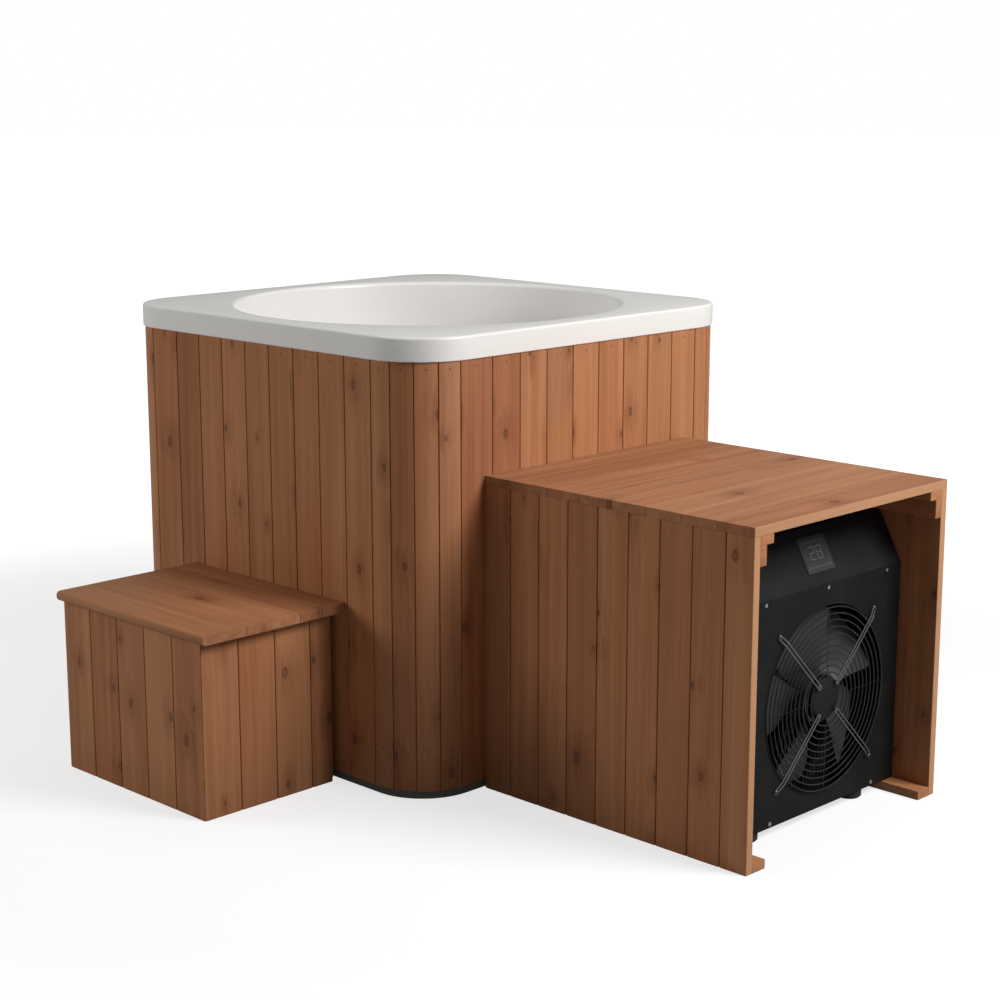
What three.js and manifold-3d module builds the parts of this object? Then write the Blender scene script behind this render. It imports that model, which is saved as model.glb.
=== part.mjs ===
// Cold plunge tub: a board-clad tub with a white moulded shell, a step box against its front
// and a wooden hood with a water chiller against its right side.
// Millimetres, +Z up. The origin is the middle of the tub's base, on the floor.
// The step stands on the -Y side and the hood on the +X side.

import * as THREE from 'three';
import { mergeVertices } from 'three/addons/utils/BufferGeometryUtils.js';
import Module from 'manifold-3d';

const wasm = await Module();
wasm.setup();

// Clearance between pieces that rest on or fit into each other.
const FIT = 0.3;
const EASED_EDGE = 3;

// Tub shell
const OPENING_RADIUS = 458;
const RIM_SHELF = 64;
const RIM_HEIGHT = 1005.5;
const RIM_SKIRT = 51.5;
const RIM_OVERHANG = 4.2;
const RIM_EDGE_RADIUS = 8;
const LIP_RADIUS = 10;
const SHELL_WALL = 8;
const BASIN_FLOOR = 125;
const BASIN_TAPER = 45;
const BASIN_FILLET = 80;

// Tub boards, frame and base
const CORNER_RADIUS = 139;
const BOARD_THICKNESS = 15;
const BOARD_GROOVE = 3;
const GROOVE_DEPTH = 5;
const FACE_BOARDS = 8;
const WIDE_BOARD = 93.2;
const CORNER_BOARDS = 4;
const CORNER_BOARD = 52.6;
const WIDE_BOARD_REACH = 77;
const BASE_HEIGHT = 18;
const BASE_INSET = 7;
const FRAME_HEIGHT = 50;
const POST_WIDTH = 50;
const POST_CORNER_SHARE = 0.9;
const JACKET_THICKNESS = 26;
const JACKET_MARGIN = 10;

// Water fittings
const SUCTION_HEIGHT = 260;
const RETURN_HEIGHT = 460;
const FITTING_RADIUS = 22;
const FITTING_FLANGE_RADIUS = 36;
const FITTING_FLANGE = 6;
const FITTING_REACH = 25;
const FITTING_NUT = 12;
const COVER_LAP = 6;
const COVER_GAP = 3;
const COVER_THICKNESS = 2;
const COVER_RIB = 3;
const COVER_RIBS = 4;
const PIPE_RADIUS = 17;
const PIPE_WALL = 3.5;
const PIPE_BEND = 40;
const PUMP_PORT_HEIGHT = 130;
const PUMP_OFFSET_Y = 45;
const DRAIN_RADIUS = 22;
const DRAIN_FLANGE_RADIUS = 45;
const DRAIN_FLANGE = 4;
const DRAIN_PIPE_HEIGHT = 94;
const DRAIN_REACH = 22;
const VALVE_LENGTH = 62;
const VALVE_RADIUS = 21;
const VALVE_TAIL = 26;
const VALVE_STEM_RADIUS = 5;
const VALVE_STEM = 12;
const VALVE_NECK_RADIUS = 8;
const LEVER_LENGTH = 78;
const LEVER_WIDTH = 18;
const LEVER_THICKNESS = 4;

// Hood over the chiller
const HOOD_GAP = 0.5;
const HOOD_LENGTH = 722.5;
const HOOD_HEIGHT = 700;
const HOOD_HEADROOM = 82;
const HOOD_NEAR_SPACE = 97;
const HOOD_FAR_SPACE = 5;
const HOOD_BACK_SPACE = 149.5;
const HOOD_PANEL = 19;
const HOOD_FIRST_BOARD = 76;
const HOOD_BOARD = 82.6;
const BATTEN_NARROW = 20;
const BATTEN_WIDE = 41;

// Chiller
const CHILLER_SETBACK = 93;
const CHILLER_WIDTH = 520;
const CHILLER_OFFSET_Y = 50;
const CHILLER_BOTTOM = 22;
const CHILLER_SLOPE_HEIGHT = 109;
const CHILLER_LEAN = 28.2;
const SHEET = 2;
const PAN_HEIGHT = 16;
const FOOT_RADIUS = 28;
const FOOT_LEFT_INSET_Y = 40;
const FOOT_RIGHT_INSET_Y = 114;
const FOOT_INSET_X = 34;
const FAN_DROP = 5.5;
const FAN_SIDE_MARGIN = 58;
const FAN_END_MARGIN = 41.5;
const GUARD_GAP = 5;
const GUARD_INNER_RADIUS = 57;
const GUARD_RINGS = 11;
const GUARD_WIRE = 3;
const GUARD_STAND = 2.5;
const STRUT_OVERHANG = 31;
const STRUT_INNER_RADIUS = 44;
const STRUT_SPACING = 9;
const STRUT_EYE = 14;
const MOTOR_RADIUS = 47;
const MOTOR_LENGTH = 60;
const MOTOR_SHAFT_RADIUS = 5;
const ROTOR_GAP = 2;
const ROTOR_WALL = 6;
const ROTOR_BACK = 12;
const ROTOR_SETBACK = 12;
const BLADES = 5;
const BLADE_TIP_GAP = 12;
const BLADE_ARC = 58;
const BLADE_TURN = 42;
const BLADE_SLANT = 42;
const BLADE_SWEEP = -9;
const BLADE_THICKNESS = 3;
const DISPLAY_WIDTH = 93;
const DISPLAY_HEIGHT = 79;
const DISPLAY_THICKNESS = 1.6;
const DISPLAY_OFFSET_Y = -8;
const DISPLAY_UP = 66;
const CONDENSER_FINS = 36;
const CONDENSER_DEPTH = 40;
const CONDENSER_SPINE = 8;
const CONDENSER_SETBACK = 110;
const CONDENSER_HEIGHT = 450;
const CONDENSER_MARGIN = 16;
const TANK_RADIUS = 75;
const TANK_HEIGHT = 470;
const TANK_FROM_REAR = 130;
const TANK_INSET_Y = 90;
const COMPRESSOR_RADIUS = 76;
const COMPRESSOR_HEIGHT = 250;
const COMPRESSOR_INSET_Y = 120;
const COMPRESSOR_FLANGE = 7;
const PUMP_RADIUS = 40;
const PUMP_LENGTH = 36;
const PUMP_MOTOR_RADIUS = 34;
const PUMP_MOTOR_SPACE = 62;

// Step box
const STEP_WIDTH = 498;
const STEP_DEPTH = 370;
const STEP_BODY_HEIGHT = 391;
const STEP_PANEL = 18;
const STEP_FRONT_BOARDS = 5;
const STEP_SIDE_BOARD = 98;
const STEP_BACK_GAP = 18;
const STEP_POST = 40;
const STEP_BACK_POST_DROP = 27;
const LID_THICKNESS = 21.5;
const LID_OVERHANG_FRONT = 17;
const LID_OVERHANG_LEFT = 3;
const LID_OVERHANG_RIGHT = 31;
const LID_NOSE_RADIUS = 9;

// Facets of round forms
const ROUND = 24;
const FINE_ROUND = 48;
const RING_ROUND = 30;
const PIPE_FACETS = 10;
const PIPE_STEPS = 16;
const BEND_FACETS = 6;

// Sizes that follow from the ones above
const RIM_HALF = OPENING_RADIUS + RIM_SHELF;
const TUB_HALF = RIM_HALF - RIM_OVERHANG;
const RIM_BOTTOM = RIM_HEIGHT - RIM_SKIRT;
const STRAIGHT = 2 * (TUB_HALF - CORNER_RADIUS);
const CORNER_ARC = CORNER_RADIUS * Math.PI / 2;
const FACE_BOARD = (STRAIGHT + CORNER_ARC - WIDE_BOARD - CORNER_BOARDS * CORNER_BOARD) / FACE_BOARDS;
const FACE_START = WIDE_BOARD_REACH - WIDE_BOARD;
const FACE_END = WIDE_BOARD_REACH + FACE_BOARDS * FACE_BOARD;
const FRAME_HALF = TUB_HALF - BOARD_THICKNESS - FIT;
const FRAME_CORNER = CORNER_RADIUS - BOARD_THICKNESS - FIT;
const FRAME_TOP = RIM_HEIGHT - SHELL_WALL - FIT;
const FLOOR_UNDERSIDE = BASIN_FLOOR - SHELL_WALL;
const HOOD_BACK = TUB_HALF + HOOD_GAP;
const HOOD_FRONT = HOOD_BACK + HOOD_LENGTH;
const CHILLER_FRONT = HOOD_FRONT - CHILLER_SETBACK;
const CHILLER_REAR = HOOD_BACK + HOOD_BACK_SPACE;
const CHILLER_Y0 = CHILLER_OFFSET_Y - CHILLER_WIDTH / 2;
const CHILLER_Y1 = CHILLER_OFFSET_Y + CHILLER_WIDTH / 2;
const HOOD_Y0 = CHILLER_Y0 - HOOD_NEAR_SPACE - HOOD_PANEL;
const HOOD_Y1 = CHILLER_Y1 + HOOD_FAR_SPACE + HOOD_PANEL;
const CHILLER_TOP = HOOD_HEIGHT - HOOD_HEADROOM;
const CHILLER_FOLD = CHILLER_TOP - CHILLER_SLOPE_HEIGHT;
const LEAN = CHILLER_LEAN * Math.PI / 180;
const LEAN_RUN = CHILLER_SLOPE_HEIGHT * Math.tan(LEAN);
const FAN_HEIGHT = (CHILLER_BOTTOM + CHILLER_FOLD) / 2 - FAN_DROP;
const FAN_OPENING_RADIUS = Math.min(CHILLER_WIDTH / 2 - FAN_SIDE_MARGIN,
  (CHILLER_FOLD - CHILLER_BOTTOM) / 2 - FAN_END_MARGIN);
const GUARD_RADIUS = FAN_OPENING_RADIUS - GUARD_GAP;
const GUARD_RING_PITCH = (GUARD_RADIUS - GUARD_INNER_RADIUS) / (GUARD_RINGS - 1);
const STRUT_RADIUS = FAN_OPENING_RADIUS + STRUT_OVERHANG;
const BLADE_TIP_RADIUS = FAN_OPENING_RADIUS - BLADE_TIP_GAP;
const PAN_TOP = CHILLER_BOTTOM + PAN_HEIGHT;
const PAN_FLOOR = CHILLER_BOTTOM + SHEET + FIT;
const TANK_X = CHILLER_REAR + TANK_FROM_REAR;
const TANK_Y = CHILLER_Y0 + TANK_INSET_Y;
const COMPRESSOR_Y = CHILLER_Y1 - COMPRESSOR_INSET_Y;
const STEP_BACK = -TUB_HALF - HOOD_GAP;
const STEP_FRONT = -TUB_HALF - STEP_DEPTH;
const STEP_SIDE_BACK = -TUB_HALF - STEP_BACK_GAP;

// Materials
function finish(color, roughness, metalness = 0) {
  return new THREE.MeshStandardMaterial({ color, roughness, metalness });
}
const MATERIALS = {
  shell: finish(0xe8e6e2, 0.25),
  boards: finish(0x8a5a3c, 0.65),
  lumber: finish(0xc59a70, 0.8),
  plywood: finish(0xa87450, 0.7),
  base: finish(0x2c3133, 0.6),
  foam: finish(0xe6dfc8, 0.9),
  pipe: finish(0xd9dcde, 0.45),
  brass: finish(0xb8944f, 0.35, 0.9),
  lever: finish(0xb3322a, 0.5),
  sheet: finish(0x262625, 0.5, 0.3),
  screen: finish(0x3a3c3d, 0.3),
  wire: finish(0x3a3a3a, 0.4, 0.6),
  blade: finish(0x55534f, 0.45, 0.2),
  motor: finish(0x2b2b2a, 0.55),
  fins: finish(0xb9bcbe, 0.4, 0.9),
  iron: finish(0x1d1e1f, 0.45, 0.5),
  rubber: finish(0x17181a, 0.85),
};

// A three.js geometry as a manifold-3d solid.
function solid(geometry) {
  const bare = geometry.clone();
  bare.deleteAttribute('normal');
  bare.deleteAttribute('uv');
  const merged = mergeVertices(bare, 1e-4);
  return new wasm.Manifold(new wasm.Mesh({
    numProp: 3,
    vertProperties: merged.attributes.position.array,
    triVerts: new Uint32Array(merged.index.array),
  }));
}

// A manifold-3d solid as a three.js geometry.
function surface(body) {
  const mesh = body.getMesh();
  const geometry = new THREE.BufferGeometry();
  geometry.setAttribute('position', new THREE.BufferAttribute(mesh.vertProperties, mesh.numProp));
  geometry.setIndex(new THREE.BufferAttribute(mesh.triVerts, 1));
  return geometry;
}

function join(...geometries) {
  return surface(geometries.map(solid).reduce((whole, next) => whole.add(next)));
}

function cut(geometry, ...tools) {
  return surface(tools.map(solid).reduce((whole, tool) => whole.subtract(tool), solid(geometry)));
}

function block(x0, x1, y0, y1, z0, z1) {
  const geometry = new THREE.BoxGeometry(x1 - x0, y1 - y0, z1 - z0);
  return geometry.translate((x0 + x1) / 2, (y0 + y1) / 2, (z0 + z1) / 2);
}

// Outlines are drawn in (x, y), (y, z) or (x, z) and run along the axis that is left.
function outlineShape(points) {
  return new THREE.Shape(points.map(([u, v]) => new THREE.Vector2(u, v)));
}

function extrude(shape, length, facets = ROUND) {
  return new THREE.ExtrudeGeometry(shape, { depth: length, bevelEnabled: false, curveSegments: facets });
}

function alongZ(shape, z0, z1, facets) {
  return extrude(shape, z1 - z0, facets).translate(0, 0, z0);
}

function alongX(shape, x0, x1, facets) {
  const turn = new THREE.Matrix4().makeBasis(
    new THREE.Vector3(0, 1, 0), new THREE.Vector3(0, 0, 1), new THREE.Vector3(1, 0, 0));
  return extrude(shape, x1 - x0, facets).applyMatrix4(turn).translate(x0, 0, 0);
}

function alongY(shape, y0, y1, facets) {
  const turn = new THREE.Matrix4().makeBasis(
    new THREE.Vector3(1, 0, 0), new THREE.Vector3(0, 0, 1), new THREE.Vector3(0, -1, 0));
  return extrude(shape, y1 - y0, facets).applyMatrix4(turn).translate(0, y1, 0);
}

// Turned forms: a closed profile of [radius, height] points, counter-clockwise with the radius to the right.
function turned(profile, facets = ROUND) {
  const points = [...profile, profile[0]].map(([radius, height]) => new THREE.Vector2(radius, height));
  return new THREE.LatheGeometry(points, facets);
}

function turnedZ(profile, facets) {
  return turned(profile, facets).rotateX(Math.PI / 2);
}

function turnedX(profile, facets) {
  return turned(profile, facets).rotateZ(-Math.PI / 2);
}

function rod(radius, x0, x1, y, z, facets = ROUND) {
  return turnedX([[0, x0], [radius, x0], [radius, x1], [0, x1]], facets).translate(0, y, z);
}

function pillar(radius, z0, z1, x, y, facets = ROUND) {
  return turnedZ([[0, z0], [radius, z0], [radius, z1], [0, z1]], facets).translate(x, y, 0);
}

function roundedSquare(half, radius) {
  const flat = half - radius;
  const shape = new THREE.Shape();
  shape.absarc(flat, -flat, radius, -Math.PI / 2, 0);
  shape.absarc(flat, flat, radius, 0, Math.PI / 2);
  shape.absarc(-flat, flat, radius, Math.PI / 2, Math.PI);
  shape.absarc(-flat, -flat, radius, Math.PI, 1.5 * Math.PI);
  return shape;
}

// Radius of a regular polygon's corners when its flats lie on a circle.
function aroundCircle(radius, facets) {
  return radius / Math.cos(Math.PI / facets);
}

function withRoundHole(shape, x, y, radius, facets = ROUND) {
  const reach = aroundCircle(radius, facets);
  const points = Array.from({ length: facets }, (unused, k) => {
    const turn = -2 * Math.PI * k / facets;
    return new THREE.Vector2(x + reach * Math.cos(turn), y + reach * Math.sin(turn));
  });
  shape.holes.push(new THREE.Path(points));
  return shape;
}

const piece = (group, name, material, geometry) => {
  const mesh = new THREE.Mesh(geometry, material);
  mesh.name = name;
  group.add(mesh);
  return mesh;
};

// Radius of the basin wall's inner face at a height.
function basinRadius(z) {
  const top = RIM_HEIGHT - LIP_RADIUS;
  return OPENING_RADIUS - BASIN_TAPER * (top - z) / (top - BASIN_FLOOR);
}

// Directions in which the shell's rings have a point: even steps, and finer ones across each corner.
function shellAngles() {
  const half = [0, 9, 18, 26, 33, 37, 39.8, 42.5];
  const quarter = [...half, 45, ...half.slice(1).reverse().map((angle) => 90 - angle)];
  return [0, 90, 180, 270].flatMap((turn) => quarter.map((angle) => (angle + turn) * Math.PI / 180));
}

// Distance from the centre to a rounded square's edge in one direction.
function squareReach(half, radius, angle) {
  const flat = half - radius;
  const x = Math.abs(Math.cos(angle));
  const y = Math.abs(Math.sin(angle));
  const side = half / Math.max(x, y);
  if (Math.min(x, y) * side <= flat) return side;
  const along = flat * (x + y);
  return along + Math.sqrt(along * along - 2 * flat * flat + radius * radius);
}

// The shell is one skin: skirt, rim, lip, basin wall and floor, with an even thickness.
function tubShell() {
  const angles = shellAngles();
  const rings = [];
  const square = (inset, z) => rings.push(angles.map((angle) => {
    const reach = squareReach(RIM_HALF - inset, CORNER_RADIUS + RIM_OVERHANG - inset, angle);
    return [reach * Math.cos(angle), reach * Math.sin(angle), z];
  }));
  const round = (radius, z) => rings.push(angles.map((angle) => (
    [radius * Math.cos(angle), radius * Math.sin(angle), z])));
  const quarterSteps = [0, 30, 60, 90].map((degrees) => degrees * Math.PI / 180);
  const wallFoot = basinRadius(BASIN_FLOOR + BASIN_FILLET);
  const outerFillet = BASIN_FILLET + SHELL_WALL;
  square(0, RIM_BOTTOM);
  for (const turn of quarterSteps) {
    square(RIM_EDGE_RADIUS * (1 - Math.cos(turn)), RIM_HEIGHT - RIM_EDGE_RADIUS * (1 - Math.sin(turn)));
  }
  for (const turn of quarterSteps) {
    round(OPENING_RADIUS + LIP_RADIUS * (1 - Math.sin(turn)), RIM_HEIGHT - LIP_RADIUS * (1 - Math.cos(turn)));
  }
  for (const turn of quarterSteps) {
    round(wallFoot - BASIN_FILLET * (1 - Math.cos(turn)), BASIN_FLOOR + BASIN_FILLET * (1 - Math.sin(turn)));
  }
  round(DRAIN_RADIUS + FIT, BASIN_FLOOR);
  round(DRAIN_RADIUS + FIT, FLOOR_UNDERSIDE);
  for (const turn of [...quarterSteps].reverse()) {
    round(wallFoot + SHELL_WALL - outerFillet * (1 - Math.cos(turn)),
      FLOOR_UNDERSIDE + outerFillet * (1 - Math.sin(turn)));
  }
  const lipFoot = RIM_HEIGHT - SHELL_WALL - LIP_RADIUS;
  round(basinRadius(lipFoot) + SHELL_WALL, lipFoot);
  round(OPENING_RADIUS + SHELL_WALL + LIP_RADIUS, RIM_HEIGHT - SHELL_WALL);
  square(SHELL_WALL, RIM_HEIGHT - SHELL_WALL);
  square(SHELL_WALL, RIM_BOTTOM);
  return ringSurface(rings);
}

// A closed skin through rings of points; the last ring joins the first.
function ringSurface(rings) {
  const count = rings[0].length;
  const index = [];
  rings.forEach((ring, r) => {
    const next = (r + 1) % rings.length;
    ring.forEach((point, p) => {
      const q = (p + 1) % count;
      index.push(r * count + p, r * count + q, next * count + q);
      index.push(r * count + p, next * count + q, next * count + p);
    });
  });
  const geometry = new THREE.BufferGeometry();
  geometry.setAttribute('position', new THREE.Float32BufferAttribute(rings.flat(2), 3));
  geometry.setIndex(index);
  return geometry;
}

// Point on the boards' outline, along from the start of the front's flat and in from the face.
function outlinePoint(along, inset) {
  const flat = TUB_HALF - CORNER_RADIUS;
  if (along < 0) {
    const turn = along / CORNER_RADIUS;
    const reach = CORNER_RADIUS - inset;
    return [-flat + reach * Math.sin(turn), -flat - reach * Math.cos(turn)];
  }
  if (along <= STRAIGHT) return [-flat + along, -TUB_HALF + inset];
  const turn = (along - STRAIGHT) / CORNER_RADIUS;
  const reach = CORNER_RADIUS - inset;
  return [flat + reach * Math.sin(turn), -flat - reach * Math.cos(turn)];
}

// Stops between two places along the outline: close together round a corner, none on the flat.
function outlineStops(from, to) {
  const step = CORNER_BOARD / 4;
  const stops = [from];
  for (const corner of [[-CORNER_ARC, 0], [STRAIGHT, STRAIGHT + CORNER_ARC]]) {
    const low = Math.max(from, corner[0]);
    const high = Math.min(to, corner[1]);
    const pieces = Math.ceil((high - low) / step);
    for (let i = 0; i <= pieces; i += 1) {
      const stop = low + (high - low) * i / pieces;
      if (stop > from && stop < to) stops.push(stop);
    }
  }
  stops.push(to);
  return [...new Set(stops)].sort((a, b) => a - b);
}

// A run of upright boards between seams along the outline, with an open groove at each seam.
function boardRun(seams) {
  const from = seams[0] + FIT / 2;
  const to = seams[seams.length - 1] - FIT / 2;
  const points = [];
  for (let i = 0; i + 1 < seams.length; i += 1) {
    const left = seams[i] + BOARD_GROOVE / 2;
    const right = seams[i + 1] - BOARD_GROOVE / 2;
    points.push(outlinePoint(i ? seams[i] - BOARD_GROOVE / 2 : from, GROOVE_DEPTH));
    points.push(outlinePoint(left, GROOVE_DEPTH));
    points.push(...outlineStops(left, right).map((stop) => outlinePoint(stop, 0)));
  }
  points.push(outlinePoint(seams[seams.length - 1] - BOARD_GROOVE / 2, GROOVE_DEPTH));
  points.push(outlinePoint(to, GROOVE_DEPTH));
  points.push(...outlineStops(from, to).reverse().map((stop) => outlinePoint(stop, BOARD_THICKNESS)));
  return alongZ(outlineShape(points), BASE_HEIGHT + FIT, RIM_BOTTOM - FIT);
}

function faceSeams() {
  const seams = [FACE_START];
  for (let i = 0; i <= FACE_BOARDS; i += 1) seams.push(WIDE_BOARD_REACH + i * FACE_BOARD);
  return seams;
}

function cornerSeams() {
  return Array.from({ length: CORNER_BOARDS + 1 }, (unused, i) => FACE_END + i * CORNER_BOARD);
}

// A cover over a bore along +Z: a disc on ribs, so that water passes from the sides and nothing is sucked in.
function boreCover(bore, foot) {
  const reach = bore + COVER_LAP;
  const underside = foot + COVER_GAP;
  const root = COVER_THICKNESS / 2;
  const rib = (k) => block(bore, reach, -COVER_RIB / 2, COVER_RIB / 2, foot - root, underside + root)
    .rotateZ(k * 2 * Math.PI / COVER_RIBS);
  return join(pillar(reach, underside, underside + COVER_THICKNESS, 0, 0),
    ...Array.from({ length: COVER_RIBS }, (unused, k) => rib(k)));
}

// A threaded wall fitting along X: covered flange inside the basin, neck through the wall, nut outside the boards.
function wallFitting(height) {
  const face = basinRadius(height - FITTING_FLANGE_RADIUS)
    - FITTING_FLANGE_RADIUS ** 2 / (2 * OPENING_RADIUS) - FIT;
  const bore = PIPE_RADIUS - PIPE_WALL;
  const nut = TUB_HALF + FIT;
  const end = TUB_HALF + FITTING_REACH;
  const body = turnedX([
    [bore, face - FITTING_FLANGE], [FITTING_FLANGE_RADIUS - EASED_EDGE, face - FITTING_FLANGE],
    [FITTING_FLANGE_RADIUS, face - FITTING_FLANGE + EASED_EDGE], [FITTING_FLANGE_RADIUS, face],
    [FITTING_RADIUS, face], [FITTING_RADIUS, nut], [FITTING_FLANGE_RADIUS, nut],
    [FITTING_FLANGE_RADIUS, nut + FITTING_NUT], [FITTING_RADIUS, nut + FITTING_NUT],
    [FITTING_RADIUS, end], [bore, end],
  ]);
  const cover = boreCover(bore, 0).rotateY(-Math.PI / 2).translate(face - FITTING_FLANGE, 0, 0);
  return join(body, cover).translate(0, 0, height);
}

// A rigid pipe with two elbows, from one place to another, leaving and arriving along +X.
function elbowPipe(from, to) {
  const start = new THREE.Vector3(...from);
  const end = new THREE.Vector3(...to);
  const middle = (start.x + end.x) / 2;
  const first = new THREE.Vector3(middle, start.y, start.z);
  const second = new THREE.Vector3(middle, end.y, end.z);
  const across = second.clone().sub(first).normalize().multiplyScalar(PIPE_BEND);
  const forward = new THREE.Vector3(PIPE_BEND, 0, 0);
  const path = new THREE.CurvePath();
  path.add(new THREE.LineCurve3(start, first.clone().sub(forward)));
  path.add(new THREE.QuadraticBezierCurve3(first.clone().sub(forward), first, first.clone().add(across)));
  path.add(new THREE.LineCurve3(first.clone().add(across), second.clone().sub(across)));
  path.add(new THREE.QuadraticBezierCurve3(second.clone().sub(across), second, second.clone().add(forward)));
  path.add(new THREE.LineCurve3(second.clone().add(forward), end));
  const section = new THREE.Shape();
  section.absarc(0, 0, PIPE_RADIUS, 0, 2 * Math.PI);
  withRoundHole(section, 0, 0, PIPE_RADIUS - PIPE_WALL, PIPE_FACETS);
  return new THREE.ExtrudeGeometry(section, {
    steps: PIPE_STEPS, curveSegments: PIPE_FACETS / 2, extrudePath: path,
  });
}

function buildTub() {
  const tub = new THREE.Group();
  const wallHole = (height) => rod(FITTING_RADIUS + FIT, 0, TUB_HALF + 1, 0, height);
  const waterHoles = [wallHole(SUCTION_HEIGHT), wallHole(RETURN_HEIGHT)];
  const drainHole = rod(PIPE_RADIUS + FIT, FRAME_HALF - BOARD_THICKNESS, TUB_HALF + 1, 0, DRAIN_PIPE_HEIGHT);

  piece(tub, 'tub_shell', MATERIALS.shell, cut(tubShell(), ...waterHoles));
  piece(tub, 'base_tray', MATERIALS.base,
    alongZ(roundedSquare(TUB_HALF - BASE_INSET, CORNER_RADIUS - BASE_INSET), 0, BASE_HEIGHT, BEND_FACETS));

  const sides = ['front', 'right', 'back', 'left'];
  sides.forEach((side, k) => {
    const face = boardRun(faceSeams()).rotateZ(k * Math.PI / 2);
    const open = side === 'right' ? cut(face, ...waterHoles, drainHole) : face;
    piece(tub, `cladding_${side}`, MATERIALS.boards, open);
    const corner = boardRun(cornerSeams()).rotateZ(k * Math.PI / 2);
    piece(tub, `corner_boards_${side}_${sides[(k + 1) % 4]}`, MATERIALS.boards, corner);
  });

  const ringFrame = (radius, z0, z1) => alongZ(
    withRoundHole(roundedSquare(FRAME_HALF, FRAME_CORNER), 0, 0, radius, FINE_ROUND), z0, z1, BEND_FACETS);
  const frameBottom = BASE_HEIGHT + FIT;
  const frameSeat = FRAME_TOP - FRAME_HEIGHT;
  const boreTop = OPENING_RADIUS + SHELL_WALL + LIP_RADIUS + FIT;
  const baseRadius = basinRadius(BASIN_FLOOR);
  piece(tub, 'top_frame', MATERIALS.plywood, ringFrame(boreTop, frameSeat, FRAME_TOP));
  piece(tub, 'bottom_frame', MATERIALS.plywood,
    ringFrame(baseRadius + FIT, frameBottom, frameBottom + FRAME_HEIGHT));

  const postOuter = TUB_HALF - CORNER_RADIUS + FRAME_CORNER * POST_CORNER_SHARE * Math.SQRT1_2;
  const postInner = postOuter - POST_WIDTH;
  sides.forEach((side, k) => {
    const post = block(postInner, postOuter, -postOuter, -postInner,
      frameBottom + FRAME_HEIGHT + FIT, frameSeat - FIT).rotateZ(k * Math.PI / 2);
    piece(tub, `corner_post_${side}_${sides[(k + 1) % 4]}`, MATERIALS.lumber, post);
  });

  const jacketLow = BASIN_FLOOR + BASIN_FILLET + JACKET_MARGIN;
  const jacketHigh = frameSeat - JACKET_MARGIN;
  const jacketIn = (z) => aroundCircle(basinRadius(z) + SHELL_WALL + FIT, FINE_ROUND);
  const jacket = turnedZ([
    [jacketIn(jacketLow), jacketLow], [jacketIn(jacketLow) + JACKET_THICKNESS, jacketLow],
    [jacketIn(jacketHigh) + JACKET_THICKNESS, jacketHigh], [jacketIn(jacketHigh), jacketHigh],
  ], FINE_ROUND);
  piece(tub, 'insulation_jacket', MATERIALS.foam, cut(jacket, ...waterHoles));

  const baseDisc = pillar(baseRadius, frameBottom, FLOOR_UNDERSIDE - FIT, 0, 0, FINE_ROUND);
  const channelHalf = DRAIN_RADIUS + FIT;
  const channel = block(-channelHalf, TUB_HALF, -channelHalf, channelHalf,
    DRAIN_PIPE_HEIGHT - PIPE_RADIUS - FIT, BASIN_FLOOR);
  piece(tub, 'insulation_base', MATERIALS.foam, cut(baseDisc, channel));

  piece(tub, 'suction_fitting', MATERIALS.pipe, wallFitting(SUCTION_HEIGHT));
  piece(tub, 'return_fitting', MATERIALS.pipe, wallFitting(RETURN_HEIGHT));
  piece(tub, 'drain_pipe', MATERIALS.pipe, drainPipe());
  piece(tub, 'drain_valve', MATERIALS.brass, drainValve());
  piece(tub, 'drain_lever', MATERIALS.lever, drainLever());
  return tub;
}

// Floor drain: covered flange on the basin floor, tail through the shell, pipe out through the right side.
function drainPipe() {
  const bore = PIPE_RADIUS - PIPE_WALL;
  const flangeTop = BASIN_FLOOR + FIT + DRAIN_FLANGE;
  const tailFoot = DRAIN_PIPE_HEIGHT - PIPE_RADIUS;
  const body = join(
    pillar(DRAIN_FLANGE_RADIUS, BASIN_FLOOR + FIT, flangeTop, 0, 0),
    pillar(DRAIN_RADIUS, tailFoot, flangeTop - DRAIN_FLANGE / 2, 0, 0),
    rod(PIPE_RADIUS, 0, TUB_HALF + DRAIN_REACH, 0, DRAIN_PIPE_HEIGHT),
  );
  const tailBore = DRAIN_RADIUS - PIPE_WALL;
  const hollow = cut(body,
    pillar(tailBore, tailFoot + PIPE_WALL, flangeTop + 1, 0, 0),
    rod(bore, 0, TUB_HALF + DRAIN_REACH + 1, 0, DRAIN_PIPE_HEIGHT));
  return join(hollow, boreCover(tailBore, flangeTop));
}

const VALVE_START = TUB_HALF + DRAIN_REACH + FIT;
const VALVE_MIDDLE = VALVE_START + VALVE_LENGTH / 2;
const NECK_TOP = DRAIN_PIPE_HEIGHT + VALVE_RADIUS + VALVE_STEM;

// Ball valve on the drain's end, with a stem for its lever and a hose tail.
function drainValve() {
  const end = VALVE_START + VALVE_LENGTH;
  const tail = PIPE_RADIUS - PIPE_WALL;
  const body = turnedX([
    [0, VALVE_START], [VALVE_RADIUS, VALVE_START], [VALVE_RADIUS, end], [tail, end],
    [tail, end + VALVE_TAIL], [0, end + VALVE_TAIL],
  ]).translate(0, 0, DRAIN_PIPE_HEIGHT);
  const stemTop = NECK_TOP + FIT + 1.5 * LEVER_THICKNESS;
  return join(body,
    pillar(VALVE_NECK_RADIUS, DRAIN_PIPE_HEIGHT, NECK_TOP, VALVE_MIDDLE, 0, PIPE_FACETS),
    pillar(VALVE_STEM_RADIUS, DRAIN_PIPE_HEIGHT, stemTop, VALVE_MIDDLE, 0, PIPE_FACETS));
}

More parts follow.
